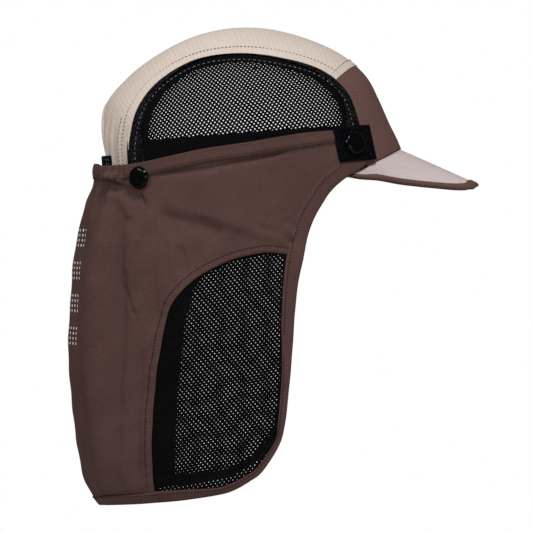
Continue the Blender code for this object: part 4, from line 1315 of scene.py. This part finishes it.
def build_cape_stitches(outer, inner):
    """The rows beside the inset's seam and the hem, and the row along the channel."""
    seam = np.array(INSET_SEAM) * (CROWN_REACH, -CAPE_DROP)
    moved = beside(at_rows(seam, np.linspace(0, len(seam) - 1, 200)), -SEAM_FOLD)
    on_brown = moved[moved[:, 1] > -0.2]
    turn = cape_turn(on_brown[:, 0], on_brown[:, 1])
    lines = [cape_track(turn, on_brown[:, 1], 0.0002)]
    steps = np.linspace(0.2, len(HEM_LINE) - 1, 500)
    inside, outside = at_rows(inner, steps), at_rows(outer, steps)
    track = inside + 0.12 * (outside - inside)
    lines.append(cape_track(track[:, 0], track[:, 1], HEM_LIFT + 0.0001))
    # These rows and the channel's carry the near-black thread, painted shade standing for shaded needle
    # holes.
    thread("cape_stitches", mirrored(lines), DARK_THREAD_AND_HOLE_SHADE)

    turn = np.linspace(placed(CAPE_TOP[0][0], CAPE_TOP[0][1])[0] + 0.03, math.pi, 500)
    _, low = band_edges(turn)
    track = cape_track(turn, low + 0.0007, 0.0006)
    thread("channel_stitches", mirrored([track]), DARK_THREAD_AND_HOLE_SHADE)


# The print, the tabs and the snaps
def build_print():
    """Plain bars of small pale dots down the back."""
    points, faces = [], []
    columns = int(2 * BAR_HALF_WIDTH / DOT_COLUMN_PITCH)
    for top in BAR_TOPS:
        for row in range(BAR_ROWS):
            z = top - row * DOT_PITCH
            radius = float(cape_radius(np.array(math.pi), np.array(z)))
            for column in range(columns):
                shift = (column - (columns - 1) / 2) * DOT_COLUMN_PITCH
                turn = math.pi - abs(shift) / radius
                around = np.array([[turn, z], [turn - 0.002, z], [turn, z - 0.0003]])
                middle, ahead, below = cape_place(around[:, 0], around[:, 1], -1 if shift <= 0 else 1)
                u = ahead - middle
                u /= np.linalg.norm(u)
                v = below - middle
                v -= u * v.dot(u)
                v /= np.linalg.norm(v)
                normal = np.cross(u, v)
                normal *= np.sign(normal[0] * middle[0] + normal[1] * middle[1])
                first = len(points)
                points.append(middle + 0.00022 * normal)
                for k in range(DOT_SIDES):
                    a = 2 * math.pi * k / DOT_SIDES
                    rim = DOT_RADIUS * (u * math.cos(a) + v * math.sin(a))
                    points.append(middle + rim + 0.00006 * normal)
                outward = np.cross(points[first + 1] - middle, points[first + 2] - middle).dot(normal) > 0
                for k in range(DOT_SIDES):
                    face = [first, first + 1 + k, first + 1 + (k + 1) % DOT_SIDES]
                    faces.append(face if outward else face[::-1])
    points = np.array(points)
    new_piece("back_dots", points, faces, points[:, 1:], PRINT, ())


def build_tabs():
    """Squares of webbing under the front snaps."""
    across = np.linspace(-0.5, 0.5, 41) * TAB_LENGTH
    up = np.linspace(-0.5, 0.5, 41)[:, None] * TAB_HEIGHT
    x = CROWN_REACH * FRONT_SNAP[0] + TAB_SHIFT + across - up * math.tan(TAB_LEAN)
    z = -CAPE_DROP * FRONT_SNAP[1] + TAB_RISE + up + across * math.tan(TAB_TILT)
    turn = cape_turn(x, z)
    edge = np.minimum(TAB_LENGTH / 2 - np.abs(across), TAB_HEIGHT / 2 - np.abs(up))
    rounded = -0.0007 * (1 - ease(edge, 0, 0.0016))
    radius = cape_radius(turn, z) + TAB_CLEARANCE + TAB_WALL + TAB_LIFT + rounded
    for side, word in ((-1, "right"), (1, "left")):
        points = np.stack([radius * np.cos(turn), side * radius * np.sin(turn), z], -1)
        surface("webbing_tab_" + word, points, WEBBING, ["tab_" + word], TAB_WALL, toward=(0, 0, 0))


def crown_frame(place, side):
    """A crown point seen from the side, with its outward normal as the local Z of a matrix."""
    x = CROWN_REACH * place[0]
    z = -CAPE_DROP * place[1]
    y = float(side_of(crown_share(x, z)))
    normal = Vector(crown_normals(np.array([[x, y, z]]))[0])
    normal.y *= side
    turned = normal.to_track_quat("Z", "Y").to_matrix().to_4x4()
    return Matrix.Translation((x, side * y, z)) @ turned


def cape_over(place):
    """How high the cape's outer face stands over the crown at a crown point, along its normal."""
    place = crown_frame(place, 1)
    x, y, z = place.translation
    turn = math.atan2(abs(y), x)
    apart = float(cape_radius(turn, z) + np.abs(cape_folds(turn, z))) - math.hypot(x, y)
    away = Vector((x, y, 0)).normalized()
    return apart * away.dot(place.col[2].to_3d())


def build_snap(name, node, place, side, extra):
    """A domed cap with a rounded rim, on a post with a flange inside."""
    base = cape_over(place) + extra + SNAP_CLEARANCE
    flange = -CROWN_WALL - SNAP_CLEARANCE
    profile = []
    for lean in np.linspace(0, 1, 12):
        radius = SNAP_RADIUS * math.sin(lean * math.radians(78)) / math.sin(math.radians(78)) * 0.97
        profile.append((radius, base + SNAP_HEIGHT * (1 - 0.08 * lean**2 - 0.44 * lean**7)))
    for lean in np.linspace(0, math.pi, 9)[1:]:
        profile.append((SNAP_RADIUS * 0.97 + 0.0003 * math.sin(lean),
                        base + 0.24 * SNAP_HEIGHT * (1 + math.cos(lean))))
    profile += [
        (SNAP_POST_RADIUS, base), (SNAP_POST_RADIUS, flange), (SNAP_FLANGE_RADIUS - 0.0003, flange),
        (SNAP_FLANGE_RADIUS, flange - 0.25 * CROWN_WALL),
        (SNAP_FLANGE_RADIUS - 0.0003, flange - 0.7 * CROWN_WALL),
    ]
    turns = np.linspace(0, 2 * math.pi, 49)[:-1]
    rings = np.array([[(r * math.cos(a), r * math.sin(a), h) for a in turns] for r, h in profile[1:]])
    matrix = np.array(crown_frame(place, side))
    rings = rings @ matrix[:3, :3].T + matrix[:3, 3]
    made = tube(name, rings, SNAP_PLASTIC, [node])
    made.data.set_sharp_from_angle(angle=math.radians(45))


def build_fastenings():
    for side, word in ((-1, "right"), (1, "left")):
        build_snap("front_snap_" + word, "snap_front_" + word, FRONT_SNAP, side,
                   TAB_CLEARANCE + TAB_WALL + TAB_LIFT)
        build_snap("rear_snap_" + word, "snap_rear_" + word, REAR_SNAP, side, 0.0)


def build_cape():
    outer, inner, seam_line = cape_lines()
    build_channel()
    build_hem(outer, inner)
    build_cape_cloth(inner, seam_line)
    build_cape_nets(inner, seam_line)
    build_cape_stitches(outer, inner)


build_strip()
build_front_panel()
build_top_stitches()
build_vent_edge()
build_bindings()
build_crown_nets()
build_sweatband()
build_strap()
build_peak()
build_cape()
build_print()
build_tabs()
build_fastenings()


# The room
def build_room():
    """White surroundings, soft lights, a pale floor and the camera."""
    scene = bpy.context.scene
    scene.view_settings.view_transform = "Standard"
    world = bpy.data.worlds.new("white room")
    scene.world = world
    world.use_nodes = True
    nodes, links = world.node_tree.nodes, world.node_tree.links
    seen = nodes["Background"]
    seen.inputs["Color"].default_value = (1, 1, 1, 1)
    seen.inputs["Strength"].default_value = 1.0
    glow = nodes.new("ShaderNodeBackground")
    glow.inputs["Color"].default_value = (1, 0.99, 0.985, 1)
    glow.inputs["Strength"].default_value = ROOM_GLOW
    choice = nodes.new("ShaderNodeMixShader")
    rays = nodes.new("ShaderNodeLightPath")
    links.new(rays.outputs["Is Camera Ray"], choice.inputs["Fac"])
    links.new(glow.outputs["Background"], choice.inputs[1])
    links.new(seen.outputs["Background"], choice.inputs[2])
    links.new(choice.outputs["Shader"], nodes["World Output"].inputs["Surface"])

    for name, place, aim, size, power in LAMPS:
        data = bpy.data.lights.new(name, "AREA")
        data.shape = "RECTANGLE"
        data.size, data.size_y = size
        data.energy = power
        lamp = bpy.data.objects.new(name, data)
        lamp.location = place
        lamp.rotation_euler = (Vector(aim) - Vector(place)).to_track_quat("-Z", "Y").to_euler()
        scene.collection.objects.link(lamp)

    mesh = bpy.data.meshes.new("floor")
    mesh.from_pydata([(-3, -3, -1), (3, -3, -1), (3, 3, -1), (-3, 3, -1)], [], [(0, 1, 2, 3)])
    pale = Look("pale_floor", 0.9, 0.2)
    speckle = pale.stretched(pale.mottle(0.3), 0.3, 0.7)
    colour = pale.blend(speckle, linear(238, 238, 238), linear(242, 242, 242))
    mesh.materials.append(pale.finished(colour))
    floor = bpy.data.objects.new("floor", mesh)
    scene.collection.objects.link(floor)

    data = bpy.data.cameras.new("camera")
    data.sensor_width = 36
    data.lens = CAMERA_LENS
    camera = bpy.data.objects.new("camera", data)
    camera.location = CAMERA_PLACE
    camera.rotation_euler = (Vector(CAMERA_AIM) - Vector(CAMERA_PLACE)).to_track_quat("-Z", "Y").to_euler()
    scene.collection.objects.link(camera)
    scene.camera = camera


build_room()
